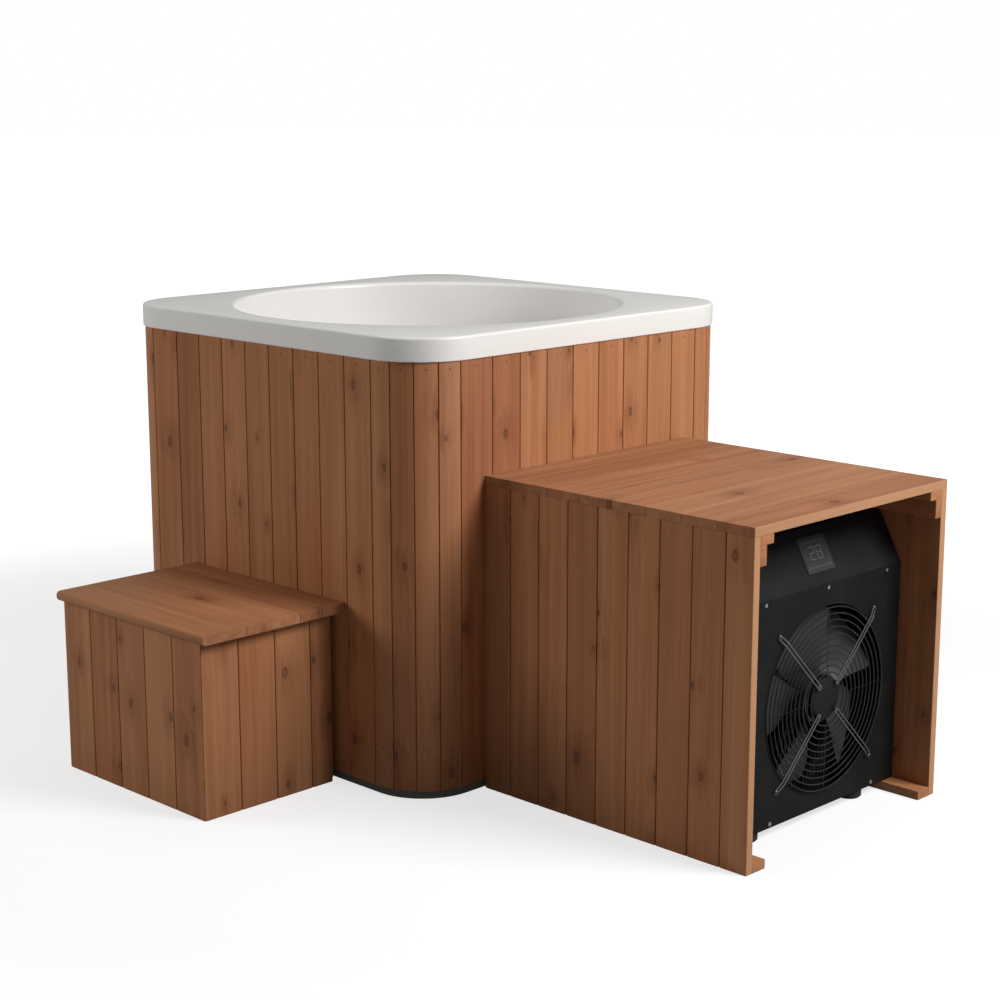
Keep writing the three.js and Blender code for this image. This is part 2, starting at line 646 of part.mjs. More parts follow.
// The lever turns on the stem, and lies across the pipe when the valve is shut.
function drainLever() {
  const half = LEVER_WIDTH / 2;
  const shape = new THREE.Shape();
  shape.absarc(0, 0, half, 0, Math.PI);
  shape.absarc(0, -LEVER_LENGTH + half, half, Math.PI, 2 * Math.PI);
  withRoundHole(shape, 0, 0, VALVE_STEM_RADIUS + FIT);
  const foot = NECK_TOP + FIT;
  return alongZ(shape, foot, foot + LEVER_THICKNESS, BEND_FACETS).translate(VALVE_MIDDLE, 0, 0);
}

function buildPipes() {
  const pipes = new THREE.Group();
  const start = TUB_HALF + FITTING_REACH + FIT;
  const end = CHILLER_REAR - FIT;
  piece(pipes, 'suction_pipe', MATERIALS.pipe,
    elbowPipe([start, 0, SUCTION_HEIGHT], [end, PUMP_OFFSET_Y, PUMP_PORT_HEIGHT]));
  piece(pipes, 'return_pipe', MATERIALS.pipe,
    elbowPipe([start, 0, RETURN_HEIGHT], [end, TANK_Y, RETURN_HEIGHT]));
  return pipes;
}

// Sheet-metal case of the chiller: pan, front, sides, rear, and a top bent down into the sloped front.
function buildChillerCase() {
  const shell = new THREE.Group();
  const frontInner = CHILLER_FRONT - SHEET - FIT;
  const slopeTop = CHILLER_FRONT - LEAN_RUN;
  const slopeInset = (SHEET + FIT) / Math.cos(LEAN);
  const bend = (SHEET + FIT) * Math.tan(Math.PI / 4 - LEAN / 2);

  const pan = block(CHILLER_REAR, frontInner, CHILLER_Y0, CHILLER_Y1, CHILLER_BOTTOM, PAN_TOP);
  const well = block(CHILLER_REAR + SHEET, frontInner - SHEET, CHILLER_Y0 + SHEET, CHILLER_Y1 - SHEET,
    CHILLER_BOTTOM + SHEET, PAN_TOP + 1);
  piece(shell, 'chiller_base_pan', MATERIALS.sheet, cut(pan, well));

  const front = outlineShape([
    [CHILLER_Y0, CHILLER_BOTTOM], [CHILLER_Y1, CHILLER_BOTTOM],
    [CHILLER_Y1, CHILLER_FOLD - FIT], [CHILLER_Y0, CHILLER_FOLD - FIT]]);
  withRoundHole(front, CHILLER_OFFSET_Y, FAN_HEIGHT, FAN_OPENING_RADIUS, FINE_ROUND);
  piece(shell, 'chiller_front_panel', MATERIALS.sheet, alongX(front, CHILLER_FRONT - SHEET, CHILLER_FRONT));

  const side = outlineShape([
    [CHILLER_REAR, PAN_TOP + FIT], [frontInner, PAN_TOP + FIT], [frontInner, CHILLER_FOLD],
    [CHILLER_FRONT - slopeInset, CHILLER_FOLD], [slopeTop - bend, CHILLER_TOP - SHEET - FIT],
    [CHILLER_REAR, CHILLER_TOP - SHEET - FIT]]);
  piece(shell, 'chiller_left_side', MATERIALS.sheet, alongY(side, CHILLER_Y0, CHILLER_Y0 + SHEET));
  piece(shell, 'chiller_right_side', MATERIALS.sheet, alongY(side, CHILLER_Y1 - SHEET, CHILLER_Y1));

  const sheetSlope = SHEET / Math.cos(LEAN);
  const sheetBend = SHEET * Math.tan(Math.PI / 4 - LEAN / 2);
  const cover = outlineShape([
    [CHILLER_FRONT, CHILLER_FOLD], [slopeTop, CHILLER_TOP], [CHILLER_REAR, CHILLER_TOP],
    [CHILLER_REAR, CHILLER_TOP - SHEET], [slopeTop - sheetBend, CHILLER_TOP - SHEET],
    [CHILLER_FRONT - sheetSlope, CHILLER_FOLD]]);
  piece(shell, 'chiller_top_cover', MATERIALS.sheet, alongY(cover, CHILLER_Y0, CHILLER_Y1));

  const inner = SHEET + FIT;
  const rear = outlineShape([
    [CHILLER_Y0 + inner, PAN_TOP + FIT], [CHILLER_Y1 - inner, PAN_TOP + FIT],
    [CHILLER_Y1 - inner, CHILLER_TOP - inner], [CHILLER_Y0 + inner, CHILLER_TOP - inner]]);
  withRoundHole(rear, PUMP_OFFSET_Y, PUMP_PORT_HEIGHT, PIPE_RADIUS - PIPE_WALL);
  withRoundHole(rear, TANK_Y, RETURN_HEIGHT, PIPE_RADIUS - PIPE_WALL);
  piece(shell, 'chiller_rear_panel', MATERIALS.sheet, alongX(rear, CHILLER_REAR, CHILLER_REAR + SHEET));

  const slope = new THREE.Group();
  slope.position.set(CHILLER_FRONT, CHILLER_OFFSET_Y + DISPLAY_OFFSET_Y, CHILLER_FOLD);
  slope.rotation.y = -LEAN;
  piece(slope, 'display', MATERIALS.screen, block(FIT, FIT + DISPLAY_THICKNESS,
    -DISPLAY_WIDTH / 2, DISPLAY_WIDTH / 2, DISPLAY_UP - DISPLAY_HEIGHT / 2, DISPLAY_UP + DISPLAY_HEIGHT / 2));
  shell.add(slope);

  const footTop = CHILLER_BOTTOM - FIT;
  for (const [end, x] of [['front', CHILLER_FRONT - FOOT_INSET_X], ['rear', CHILLER_REAR + FOOT_INSET_X]]) {
    for (const [hand, y] of [
      ['left', CHILLER_Y0 + FOOT_LEFT_INSET_Y], ['right', CHILLER_Y1 - FOOT_RIGHT_INSET_Y]]) {
      const foot = turnedZ([
        [0, 0], [FOOT_RADIUS - EASED_EDGE, 0], [FOOT_RADIUS, EASED_EDGE],
        [FOOT_RADIUS, footTop], [0, footTop]]);
      piece(shell, `chiller_foot_${end}_${hand}`, MATERIALS.rubber,
        foot.translate(x, y, 0));
    }
  }
  return shell;
}

// The fan is drawn about its own axis, which is X, with the panel's outer face at zero.
function buildFan() {
  const fan = new THREE.Group();
  fan.position.set(CHILLER_FRONT, CHILLER_OFFSET_Y, FAN_HEIGHT);
  piece(fan, 'fan_guard', MATERIALS.wire, fanGuard());
  piece(fan, 'fan_motor', MATERIALS.motor, fanMotor());
  piece(fan, 'fan_rotor', MATERIALS.blade, fanRotor());
  return fan;
}

const MOTOR_FACE = GUARD_STAND - FIT;
const MOTOR_BACK = MOTOR_FACE - MOTOR_LENGTH;
const ROTOR_FRONT = -ROTOR_SETBACK;
const ROTOR_INNER_BACK = MOTOR_BACK - ROTOR_GAP;
const ROTOR_END = ROTOR_INNER_BACK - ROTOR_BACK;
const ROTOR_INNER_RADIUS = MOTOR_RADIUS + ROTOR_GAP;
const ROTOR_RADIUS = ROTOR_INNER_RADIUS + ROTOR_WALL;

// Wire guard: rings, four double-wire struts with eyes on the panel, and four thin wires behind the rings.
function fanGuard() {
  const half = GUARD_WIRE / 2;
  const ringPlane = GUARD_STAND + GUARD_WIRE;
  const strutBack = ringPlane + half / 2;
  const strutFront = strutBack + GUARD_WIRE;
  const parts = [];
  for (let i = 0; i < GUARD_RINGS; i += 1) {
    const radius = GUARD_RADIUS - i * GUARD_RING_PITCH;
    parts.push(turnedX([
      [radius - half, ringPlane], [radius, ringPlane - half],
      [radius + half, ringPlane], [radius, ringPlane + half]], RING_ROUND));
  }
  for (let k = 0; k < 4; k += 1) {
    const strut = join(
      ...[-1, 1].map((hand) => block(strutBack, strutFront, STRUT_INNER_RADIUS, STRUT_RADIUS,
        hand * STRUT_SPACING / 2 - half, hand * STRUT_SPACING / 2 + half)),
      block(FIT, strutFront, STRUT_RADIUS - STRUT_EYE / 2, STRUT_RADIUS + STRUT_EYE / 2,
        -STRUT_EYE / 2, STRUT_EYE / 2),
      block(GUARD_STAND, strutFront, STRUT_INNER_RADIUS - STRUT_EYE / 2, STRUT_INNER_RADIUS,
        -STRUT_EYE / 2, STRUT_EYE / 2));
    parts.push(strut.rotateX((k + 0.5) * Math.PI / 2));
    const wire = block(ringPlane - GUARD_WIRE, ringPlane - half / 2,
      GUARD_INNER_RADIUS, GUARD_RADIUS, -half / 2, half / 2);
    parts.push(wire.rotateX(k * Math.PI / 2));
  }
  return join(...parts);
}

// Motor body held by the guard's struts, with the shaft that carries the rotor.
function fanMotor() {
  return turnedX([
    [0, ROTOR_END], [MOTOR_SHAFT_RADIUS, ROTOR_END], [MOTOR_SHAFT_RADIUS, MOTOR_BACK],
    [MOTOR_RADIUS, MOTOR_BACK], [MOTOR_RADIUS, MOTOR_FACE], [0, MOTOR_FACE]], RING_ROUND);
}

// Rotor drum over the motor, with swept blades.
function fanRotor() {
  const bore = MOTOR_SHAFT_RADIUS + FIT;
  const drum = turnedX([
    [bore, ROTOR_END], [ROTOR_RADIUS, ROTOR_END], [ROTOR_RADIUS, ROTOR_FRONT],
    [ROTOR_INNER_RADIUS, ROTOR_FRONT], [ROTOR_INNER_RADIUS, ROTOR_INNER_BACK], [bore, ROTOR_INNER_BACK],
  ], RING_ROUND);
  const bladeTurn = BLADE_TURN * Math.PI / 180;
  const blades = Array.from({ length: BLADES },
    (unused, k) => fanBlade().rotateX(k * 2 * Math.PI / BLADES + bladeTurn));
  return join(drum, ...blades);
}

// One blade: rows from root to tip, each across the blade's arc, slanting towards the back.
function fanBlade() {
  const rows = 5;
  const across = 4;
  const middle = (ROTOR_FRONT + ROTOR_END) / 2;
  const radians = Math.PI / 180;
  const sides = [BLADE_THICKNESS / 2, -BLADE_THICKNESS / 2].map((lift) => {
    const grid = [];
    for (let i = 0; i <= rows; i += 1) {
      const radius = THREE.MathUtils.lerp(ROTOR_RADIUS - ROTOR_WALL / 2, BLADE_TIP_RADIUS, i / rows);
      for (let j = 0; j <= across; j += 1) {
        const share = j / across - 0.5;
        const turn = (share * BLADE_ARC + (i / rows) ** 2 * BLADE_SWEEP) * radians;
        grid.push([middle - share * BLADE_SLANT + lift, radius * Math.cos(turn), radius * Math.sin(turn)]);
      }
    }
    return grid;
  });
  const width = across + 1;
  const count = sides[0].length;
  const index = [];
  const quad = (a, b, c, d) => index.push(a, b, c, a, c, d);
  for (let i = 0; i < rows; i += 1) {
    for (let j = 0; j < across; j += 1) {
      const a = i * width + j;
      quad(a, a + width, a + width + 1, a + 1);
      quad(count + a, count + a + 1, count + a + width + 1, count + a + width);
    }
  }
  const edge = [];
  for (let j = 0; j < across; j += 1) edge.push(j);
  for (let i = 0; i < rows; i += 1) edge.push(i * width + across);
  for (let j = across; j > 0; j -= 1) edge.push(rows * width + j);
  for (let i = rows; i > 0; i -= 1) edge.push(i * width);
  edge.forEach((a, k) => {
    const b = edge[(k + 1) % edge.length];
    quad(a, b, count + b, count + a);
  });
  const geometry = new THREE.BufferGeometry();
  geometry.setAttribute('position', new THREE.Float32BufferAttribute(sides.flat(2), 3));
  geometry.setIndex(index);
  return geometry;
}

// Cooling parts that stand on the chiller's base pan.
function buildChillerInside() {
  const inside = new THREE.Group();
  const rearInner = CHILLER_REAR + SHEET + FIT;

  const finY0 = CHILLER_Y0 + CONDENSER_MARGIN;
  const pitch = (CHILLER_WIDTH - 2 * CONDENSER_MARGIN) / CONDENSER_FINS;
  const finFront = CHILLER_FRONT - CONDENSER_SETBACK;
  const finRoot = finFront - CONDENSER_DEPTH + CONDENSER_SPINE;
  const spineBack = finRoot - CONDENSER_SPINE;
  const comb = [[spineBack, finY0 + CONDENSER_FINS * pitch], [spineBack, finY0]];
  for (let i = 0; i < CONDENSER_FINS; i += 1) {
    const y = finY0 + i * pitch;
    comb.push([finFront, y], [finFront, y + pitch / 3], [finRoot, y + pitch / 3], [finRoot, y + pitch]);
  }
  piece(inside, 'condenser_coil', MATERIALS.fins,
    alongZ(outlineShape(comb), PAN_FLOOR, PAN_FLOOR + CONDENSER_HEIGHT));

  const tankTop = PAN_FLOOR + TANK_HEIGHT;
  const tank = turnedZ([
    [0, PAN_FLOOR], [TANK_RADIUS, PAN_FLOOR], [TANK_RADIUS, tankTop - TANK_RADIUS / 3],
    [TANK_RADIUS * 0.8, tankTop - TANK_RADIUS / 8], [0, tankTop]]).translate(TANK_X, TANK_Y, 0);
  const outlet = rod(PIPE_RADIUS, rearInner, TANK_X, TANK_Y, RETURN_HEIGHT);
  piece(inside, 'evaporator_tank', MATERIALS.pipe, join(tank, outlet));

  const flangeRadius = COMPRESSOR_RADIUS + COMPRESSOR_FLANGE;
  const compressor = turnedZ([
    [0, 0], [flangeRadius, 0], [flangeRadius, COMPRESSOR_FLANGE], [COMPRESSOR_RADIUS, COMPRESSOR_FLANGE],
    [COMPRESSOR_RADIUS, COMPRESSOR_HEIGHT - COMPRESSOR_RADIUS / 2],
    [COMPRESSOR_RADIUS * 0.75, COMPRESSOR_HEIGHT - COMPRESSOR_RADIUS / 8], [0, COMPRESSOR_HEIGHT]]);
  piece(inside, 'compressor', MATERIALS.iron, compressor.translate(TANK_X, COMPRESSOR_Y, PAN_FLOOR));

  const voluteBack = TANK_X - PUMP_LENGTH / 2;
  const voluteFront = TANK_X + PUMP_LENGTH / 2;
  const motorEnd = spineBack - PUMP_MOTOR_SPACE;
  const pumpBody = turnedX([
    [0, rearInner], [PIPE_RADIUS, rearInner], [PIPE_RADIUS, voluteBack], [PUMP_RADIUS, voluteBack],
    [PUMP_RADIUS, voluteFront], [PUMP_MOTOR_RADIUS, voluteFront],
    [PUMP_MOTOR_RADIUS, motorEnd], [0, motorEnd],
  ]);
  const footHalf = PUMP_MOTOR_RADIUS / 2;
  const foot = block(voluteFront, motorEnd, -footHalf, footHalf, PAN_FLOOR - PUMP_PORT_HEIGHT, 0);
  const outletRadius = PIPE_RADIUS - PIPE_WALL;
  const outletLength = PUMP_OFFSET_Y - TANK_Y - TANK_RADIUS - FIT;
  const pumpOutlet = turned([[0, -outletLength], [outletRadius, -outletLength], [outletRadius, 0], [0, 0]],
    PIPE_FACETS).translate(TANK_X, 0, 0);
  piece(inside, 'circulation_pump', MATERIALS.motor,
    join(pumpBody, foot, pumpOutlet).translate(0, PUMP_OFFSET_Y, PUMP_PORT_HEIGHT));
  return inside;
}

// Hood: two board sides and a top, with blocks and battens in the upper corners and runners on the floor.
function buildHood() {
  const hood = new THREE.Group();
  const topFoot = HOOD_HEIGHT - HOOD_PANEL;

  const seams = [];
  for (let x = HOOD_FIRST_BOARD; x < HOOD_LENGTH - BOARD_GROOVE; x += HOOD_BOARD) seams.push(HOOD_BACK + x);
  const near = grooved(HOOD_BACK, HOOD_FRONT, seams, HOOD_PANEL).map(([x, depth]) => [x, HOOD_Y0 + depth]);
  const far = near.map(([x, y]) => [x, HOOD_Y0 + HOOD_Y1 - y]).reverse();
  piece(hood, 'hood_side_near', MATERIALS.boards, alongZ(outlineShape(near), 0, topFoot - FIT));
  piece(hood, 'hood_side_far', MATERIALS.boards, alongZ(outlineShape(far), 0, topFoot - FIT));
  piece(hood, 'hood_top', MATERIALS.boards,
    block(HOOD_BACK, HOOD_FRONT, HOOD_Y0, HOOD_Y1, topFoot, HOOD_HEIGHT));

  const blockFoot = topFoot - BATTEN_NARROW;
  const bars = {
    top_block: [BATTEN_WIDE, blockFoot, topFoot - FIT],
    side_batten: [BATTEN_NARROW, blockFoot - BATTEN_WIDE + FIT, blockFoot - FIT],
    runner: [BATTEN_WIDE, 0, BATTEN_NARROW],
  };
  for (const [name, [width, z0, z1]] of Object.entries(bars)) {
    const nearFace = HOOD_Y0 + HOOD_PANEL + FIT;
    const farFace = HOOD_Y1 - HOOD_PANEL - FIT;
    piece(hood, `hood_${name}_near`, MATERIALS.lumber,
      block(HOOD_BACK, HOOD_FRONT, nearFace, nearFace + width, z0, z1));
    piece(hood, `hood_${name}_far`, MATERIALS.lumber,
      block(HOOD_BACK, HOOD_FRONT, farFace - width, farFace, z0, z1));
  }
  return hood;
}

// A board panel's plan: [along, depth] points, with the grooved face at depth zero.
function grooved(from, to, seams, thickness) {
  const half = BOARD_GROOVE / 2;
  const points = [[from, 0]];
  for (const seam of seams) {
    points.push([seam - half, 0], [seam - half, GROOVE_DEPTH], [seam + half, GROOVE_DEPTH], [seam + half, 0]);
  }
  points.push([to, 0], [to, thickness], [from, thickness]);
  return points;
}

function buildStep() {
  const step = new THREE.Group();
  const half = STEP_WIDTH / 2;
  const inner = half - STEP_PANEL;
  const frontBack = STEP_FRONT + STEP_PANEL;

  const frontBoard = STEP_WIDTH / STEP_FRONT_BOARDS;
  const frontSeams = [];
  for (let i = 1; i < STEP_FRONT_BOARDS; i += 1) frontSeams.push(i * frontBoard - half);
  const front = grooved(-half, half, frontSeams, STEP_PANEL).map(([x, depth]) => [x, STEP_FRONT + depth]);
  piece(step, 'step_front', MATERIALS.boards, alongZ(outlineShape(front), 0, STEP_BODY_HEIGHT - FIT));

  const sideSeams = [];
  for (let y = STEP_FRONT + STEP_SIDE_BOARD; y < STEP_SIDE_BACK - BOARD_GROOVE; y += STEP_SIDE_BOARD) {
    sideSeams.push(y);
  }
  const plan = grooved(frontBack + FIT, STEP_SIDE_BACK, sideSeams, STEP_PANEL);
  const right = plan.map(([y, depth]) => [half - depth, y]);
  const left = plan.map(([y, depth]) => [depth - half, y]).reverse();
  piece(step, 'step_side_right', MATERIALS.boards, alongZ(outlineShape(right), 0, STEP_BODY_HEIGHT - FIT));
  piece(step, 'step_side_left', MATERIALS.boards, alongZ(outlineShape(left), 0, STEP_BODY_HEIGHT - FIT));

  for (const [hand, x] of [['left', -inner + FIT], ['right', inner - FIT - STEP_POST]]) {
    piece(step, `step_front_post_${hand}`, MATERIALS.lumber,
      block(x, x + STEP_POST, frontBack + FIT, frontBack + FIT + STEP_POST, 0, STEP_BODY_HEIGHT - FIT));
    piece(step, `step_back_post_${hand}`, MATERIALS.lumber,
      block(x, x + STEP_POST, STEP_SIDE_BACK - STEP_POST + STEP_BACK_GAP, STEP_BACK,
        0, STEP_BODY_HEIGHT - STEP_BACK_POST_DROP));
  }

  const lidFront = STEP_FRONT - LID_OVERHANG_FRONT;
  const lidTop = STEP_BODY_HEIGHT + LID_THICKNESS;
  const nose = new THREE.Shape();
  nose.moveTo(STEP_BACK, STEP_BODY_HEIGHT);
  nose.lineTo(STEP_BACK, lidTop);
  nose.absarc(lidFront + LID_NOSE_RADIUS, lidTop - LID_NOSE_RADIUS, LID_NOSE_RADIUS, Math.PI / 2, Math.PI);
  nose.absarc(lidFront + LID_NOSE_RADIUS, STEP_BODY_HEIGHT + LID_NOSE_RADIUS, LID_NOSE_RADIUS,
    Math.PI, 1.5 * Math.PI);
  piece(step, 'step_lid', MATERIALS.boards,
    alongX(nose, -half - LID_OVERHANG_LEFT, half + LID_OVERHANG_RIGHT, 5));
  return step;
}

const plungeTub = new THREE.Group();
plungeTub.add(buildTub(), buildPipes());
plungeTub.add(buildChillerCase(), buildFan(), buildChillerInside());
plungeTub.add(buildHood(), buildStep());

export default plungeTub;
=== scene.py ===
"""Looks of a board-clad cold plunge tub with a step box and a hooded water chiller."""

from __future__ import annotations

import logging
import math
import random
from dataclasses import dataclass
from enum import Enum, IntEnum
from typing import Any, Callable, Sequence, Union

import bmesh
import bpy
from mathutils import Matrix, Vector

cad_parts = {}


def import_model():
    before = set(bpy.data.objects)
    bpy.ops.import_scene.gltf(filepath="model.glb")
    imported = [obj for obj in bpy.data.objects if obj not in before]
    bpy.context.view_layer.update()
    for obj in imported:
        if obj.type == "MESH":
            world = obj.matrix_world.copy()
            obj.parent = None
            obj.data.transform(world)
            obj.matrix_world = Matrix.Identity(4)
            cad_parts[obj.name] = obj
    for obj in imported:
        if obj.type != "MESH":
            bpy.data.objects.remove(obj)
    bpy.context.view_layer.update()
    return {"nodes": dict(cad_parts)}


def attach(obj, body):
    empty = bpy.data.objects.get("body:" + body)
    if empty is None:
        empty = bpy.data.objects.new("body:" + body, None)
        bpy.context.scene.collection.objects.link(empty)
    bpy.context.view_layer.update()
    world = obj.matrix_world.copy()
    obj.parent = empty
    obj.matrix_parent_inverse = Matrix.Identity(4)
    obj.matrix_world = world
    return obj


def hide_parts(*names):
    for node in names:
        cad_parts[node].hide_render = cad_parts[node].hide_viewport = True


LOG = logging.getLogger("plunge_tub")
PHOTO_PIXELS = 1000
WHITE = (1.0, 1.0, 1.0)

# Each board draws its figure and tone from its own dice.
DICE_STEP = 7919
DICE_START = 13
GRAIN_SHIFT = 30.0
TONE_SPREAD = 0.22
SHARP_ANGLE = math.radians(32)

Colour = tuple[float, float, float]
Point = tuple[float, float, float]
Corners = list[tuple[float, float]]
Place = Callable[[float, float, float], Point]


class Body(str, Enum):
    """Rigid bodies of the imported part."""

    TUB = "tub"
    FAN = "fan"
    HOOD = "hood"
    STEP = "step"


class Slot(str, Enum):
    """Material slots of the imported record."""

    SHELL = "shell"
    BOARDS = "boards"
    LUMBER = "lumber"
    SHEET = "sheet"
    SCREEN = "screen"
    WIRE = "wire"
    BLADE = "blade"
    MOTOR = "motor"


class FirstBoard(IntEnum):
    """Number of the first board in each run of boards, which sets their dice."""

    TUB_FACE = 0
    TUB_CORNER = 20
    STEP_FRONT = 300
    STEP_RIGHT = 320
    STEP_LEFT = 340
    STEP_BACK_POST = 364
    STEP_FRONT_POST = 365
    STEP_LID = 380
    HOOD_NEAR = 400
    HOOD_FAR = 420
    HOOD_TOP = 440
    HOOD_BATTEN = 460


def srgb(red: int, green: int, blue: int) -> Colour:
    """Turns a screen colour into the linear one that shaders take.

    Args:
        red: Red from 0 to 255.
        green: Green from 0 to 255.
        blue: Blue from 0 to 255.

    Returns:
        The linear colour.
    """

    def linear(value: int) -> float:
        """Turns one channel linear."""
        share = value / 255
        return share / 12.92 if share <= 0.04045 else ((share + 0.055) / 1.055) ** 2.4

    return linear(red), linear(green), linear(blue)


def dimmed(colour: Colour, share: float) -> Colour:
    """Darkens a colour to a share of itself."""
    return colour[0] * share, colour[1] * share, colour[2] * share


def full_turn(steps: int) -> list[float]:
    """Divides a full turn evenly into angles."""
    return [2 * math.pi * k / steps for k in range(steps)]


class Socket:
    """A shader node's output, with arithmetic that adds Math nodes."""

    def __init__(self, graph: Graph, output: bpy.types.NodeSocket | None) -> None:
        """Wraps one output of a graph's node."""
        self.graph = graph
        self.output = output

    def sibling(self, output: str | int) -> Socket:
        """Returns another output of the same node."""
        return Socket(self.graph, self.output.node.outputs[output])

    def _math(self, operation: str, first: Value, second: Value) -> Socket:
        """Adds one Math node."""
        return self.graph.add("ShaderNodeMath", {"operation": operation}, {0: first, 1: second})

    def __add__(self, other: Value) -> Socket:
        """Adds."""
        return self._math("ADD", self, other)

    def __radd__(self, other: Value) -> Socket:
        """Adds to a number."""
        return self._math("ADD", other, self)

    def __sub__(self, other: Value) -> Socket:
        """Subtracts."""
        return self._math("SUBTRACT", self, other)

    def __rsub__(self, other: Value) -> Socket:
        """Subtracts from a number."""
        return self._math("SUBTRACT", other, self)

    def __mul__(self, other: Value) -> Socket:
        """Multiplies."""
        return self._math("MULTIPLY", self, other)

    def __rmul__(self, other: Value) -> Socket:
        """Multiplies a number."""
        return self._math("MULTIPLY", other, self)

    def __truediv__(self, other: Value) -> Socket:
        """Divides."""
        return self._math("DIVIDE", self, other)

    def __rtruediv__(self, other: Value) -> Socket:
        """Divides a number."""
        return self._math("DIVIDE", other, self)

    def __gt__(self, other: Value) -> Socket:
        """One where this is greater, and zero elsewhere."""
        return self._math("GREATER_THAN", self, other)

    def __lt__(self, other: Value) -> Socket:
        """One where this is smaller, and zero elsewhere."""
        return self._math("LESS_THAN", self, other)


Value = Union[float, Socket]
Tint = Union[Colour, Socket]
Triple = tuple[Socket, Socket, Socket]


class Graph:
    """The node tree of one material or world."""

    def __init__(self, owner: bpy.types.Material | bpy.types.World) -> None:
        """Empties the owner's tree."""
        owner.use_nodes = True
        self.tree = owner.node_tree
        self.tree.nodes.clear()

    def add(
        self,
        kind: str,
        settings: dict[str, Any] | None = None,
        inputs: dict[str | int, Any] | None = None,
        output: str | int = 0,
    ) -> Socket:
        """Adds one node.

        Args:
            kind: The node's type.
            settings: Its settings.
            inputs: Values or links by socket name or number.
            output: The output that is handed back.

        Returns:
            That output.
        """
        node = self.tree.nodes.new(kind)
        for key, value in (settings or {}).items():
            setattr(node, key, value)
        for key, value in (inputs or {}).items():
            if isinstance(value, Socket):
                self.tree.links.new(value.output, node.inputs[key])
            elif isinstance(value, tuple) and node.inputs[key].type == "RGBA":
                node.inputs[key].default_value = (*value, 1.0)
            else:
                node.inputs[key].default_value = value
        return Socket(self, node.outputs[output] if node.outputs else None)

    def attribute(self, name: str, output: str = "Fac") -> Socket:
        """Reads a mesh attribute, from Fac as a number and from Vector as a vector."""
        return self.add("ShaderNodeAttribute", {"attribute_name": name}, output=output)

    def split(self, vector: Socket) -> Triple:
        """Takes a vector apart into X, Y and Z."""
        first = self.add("ShaderNodeSeparateXYZ", {}, {0: vector})
        return first, first.sibling(1), first.sibling(2)

    def vector(self, x: Value, y: Value, z: Value) -> Socket:
        """Puts a vector together."""
        return self.add("ShaderNodeCombineXYZ", {}, {0: x, 1: y, 2: z})

    def noise(self, vector: Socket, scale: float, octaves: float = 2.0, fine: float = 0.5) -> Socket:
        """Adds smooth noise from 0 to 1; fine is the strength of its finer octaves."""
        sockets = {"Vector": vector, "Scale": scale, "Detail": octaves, "Roughness": fine}
        return self.add("ShaderNodeTexNoise", {}, sockets)

    def fade(self, value: Value, low: float, high: float) -> Socket:
        """Rises smoothly from 0 at low to 1 at high; low may be the larger one.

        Args:
            value: What is compared.
            low: Where the result is 0.
            high: Where the result is 1.

        Returns:
            The smooth step.
        """
        flip = low > high
        sockets = {"Value": value, "From Min": min(low, high), "From Max": max(low, high)}
        sockets |= {"To Min": float(flip), "To Max": float(not flip)}
        return self.add("ShaderNodeMapRange", {"interpolation_type": "SMOOTHSTEP"}, sockets)

    def mix(self, share: Value, first: Tint, second: Tint, blend: str = "MIX") -> Socket:
        """Mixes two colours by the second one's share."""
        settings = {"data_type": "RGBA", "blend_type": blend, "clamp_factor": True}
        return self.add("ShaderNodeMix", settings, {0: share, 6: first, 7: second}, output=2)

    def bump(self, height: Socket, strength: float, distance: float) -> Socket:
        """Turns a height into a normal; distance is the height of 1, in metres."""
        sockets = {"Height": height, "Strength": strength, "Distance": distance}
        return self.add("ShaderNodeBump", {}, sockets)

    def object_point(self) -> Socket:
        """Returns the point in the row's frame, in metres."""
        return self.add("ShaderNodeTexCoord", output="Object")

    def surface(self, **inputs: Any) -> None:
        """Ends the tree in a Principled shader; underscores in the names stand for spaces."""
        named = {key.replace("_", " "): value for key, value in inputs.items()}
        self.add("ShaderNodeOutputMaterial", {}, {0: self.add("ShaderNodeBsdfPrincipled", {}, named)})


@dataclass(frozen=True)
class Finish:
    """A finish that becomes one material, made when it is first asked for."""

    name: str

    def shade(self, graph: Graph) -> None:
        """Fills the material's tree."""
        raise NotImplementedError

    def material(self) -> bpy.types.Material:
        """Finds the finish's material, and makes it the first time.

        Returns:
            The material.
        """
        found = bpy.data.materials.get(self.name)
        if found is None:
            found = bpy.data.materials.new(self.name)
            self.shade(Graph(found))
        return found


class GrainAxis(Enum):
    """The way the grain runs in a solid that carries no grain of its own."""

    X = (1, 2, 0)
    Z = (0, 1, 2)


@dataclass(frozen=True)
class Figure:
    """One scale of the grain's noise, in cycles a metre across and along the board."""

    across: float
    along: float
    octaves: float = 2.0
    fine: float = 0.5

    def noise(self, graph: Graph, place: Triple) -> Socket:
        """Adds the noise, from minus a half to a half.

        Args:
            graph: The material's graph.
            place: Distances across, into and along the board.

        Returns:
            The noise.
        """
        across, depth, along = place
        point = graph.vector(across * self.across, depth * self.across, along * self.along)
        return graph.noise(point, 1.0, self.octaves, self.fine) - 0.5


DRIFT = Figure(5.0, 1.6)
PATCHES = Figure(9.0, 2.4)
SMUDGES = Figure(40.0, 14.0, 3.0)
STREAKS = Figure(48.0, 1.2, 3.0, 0.55)
RINGS = Figure(190.0, 2.0)
FIBRES = Figure(800.0, 20.0)


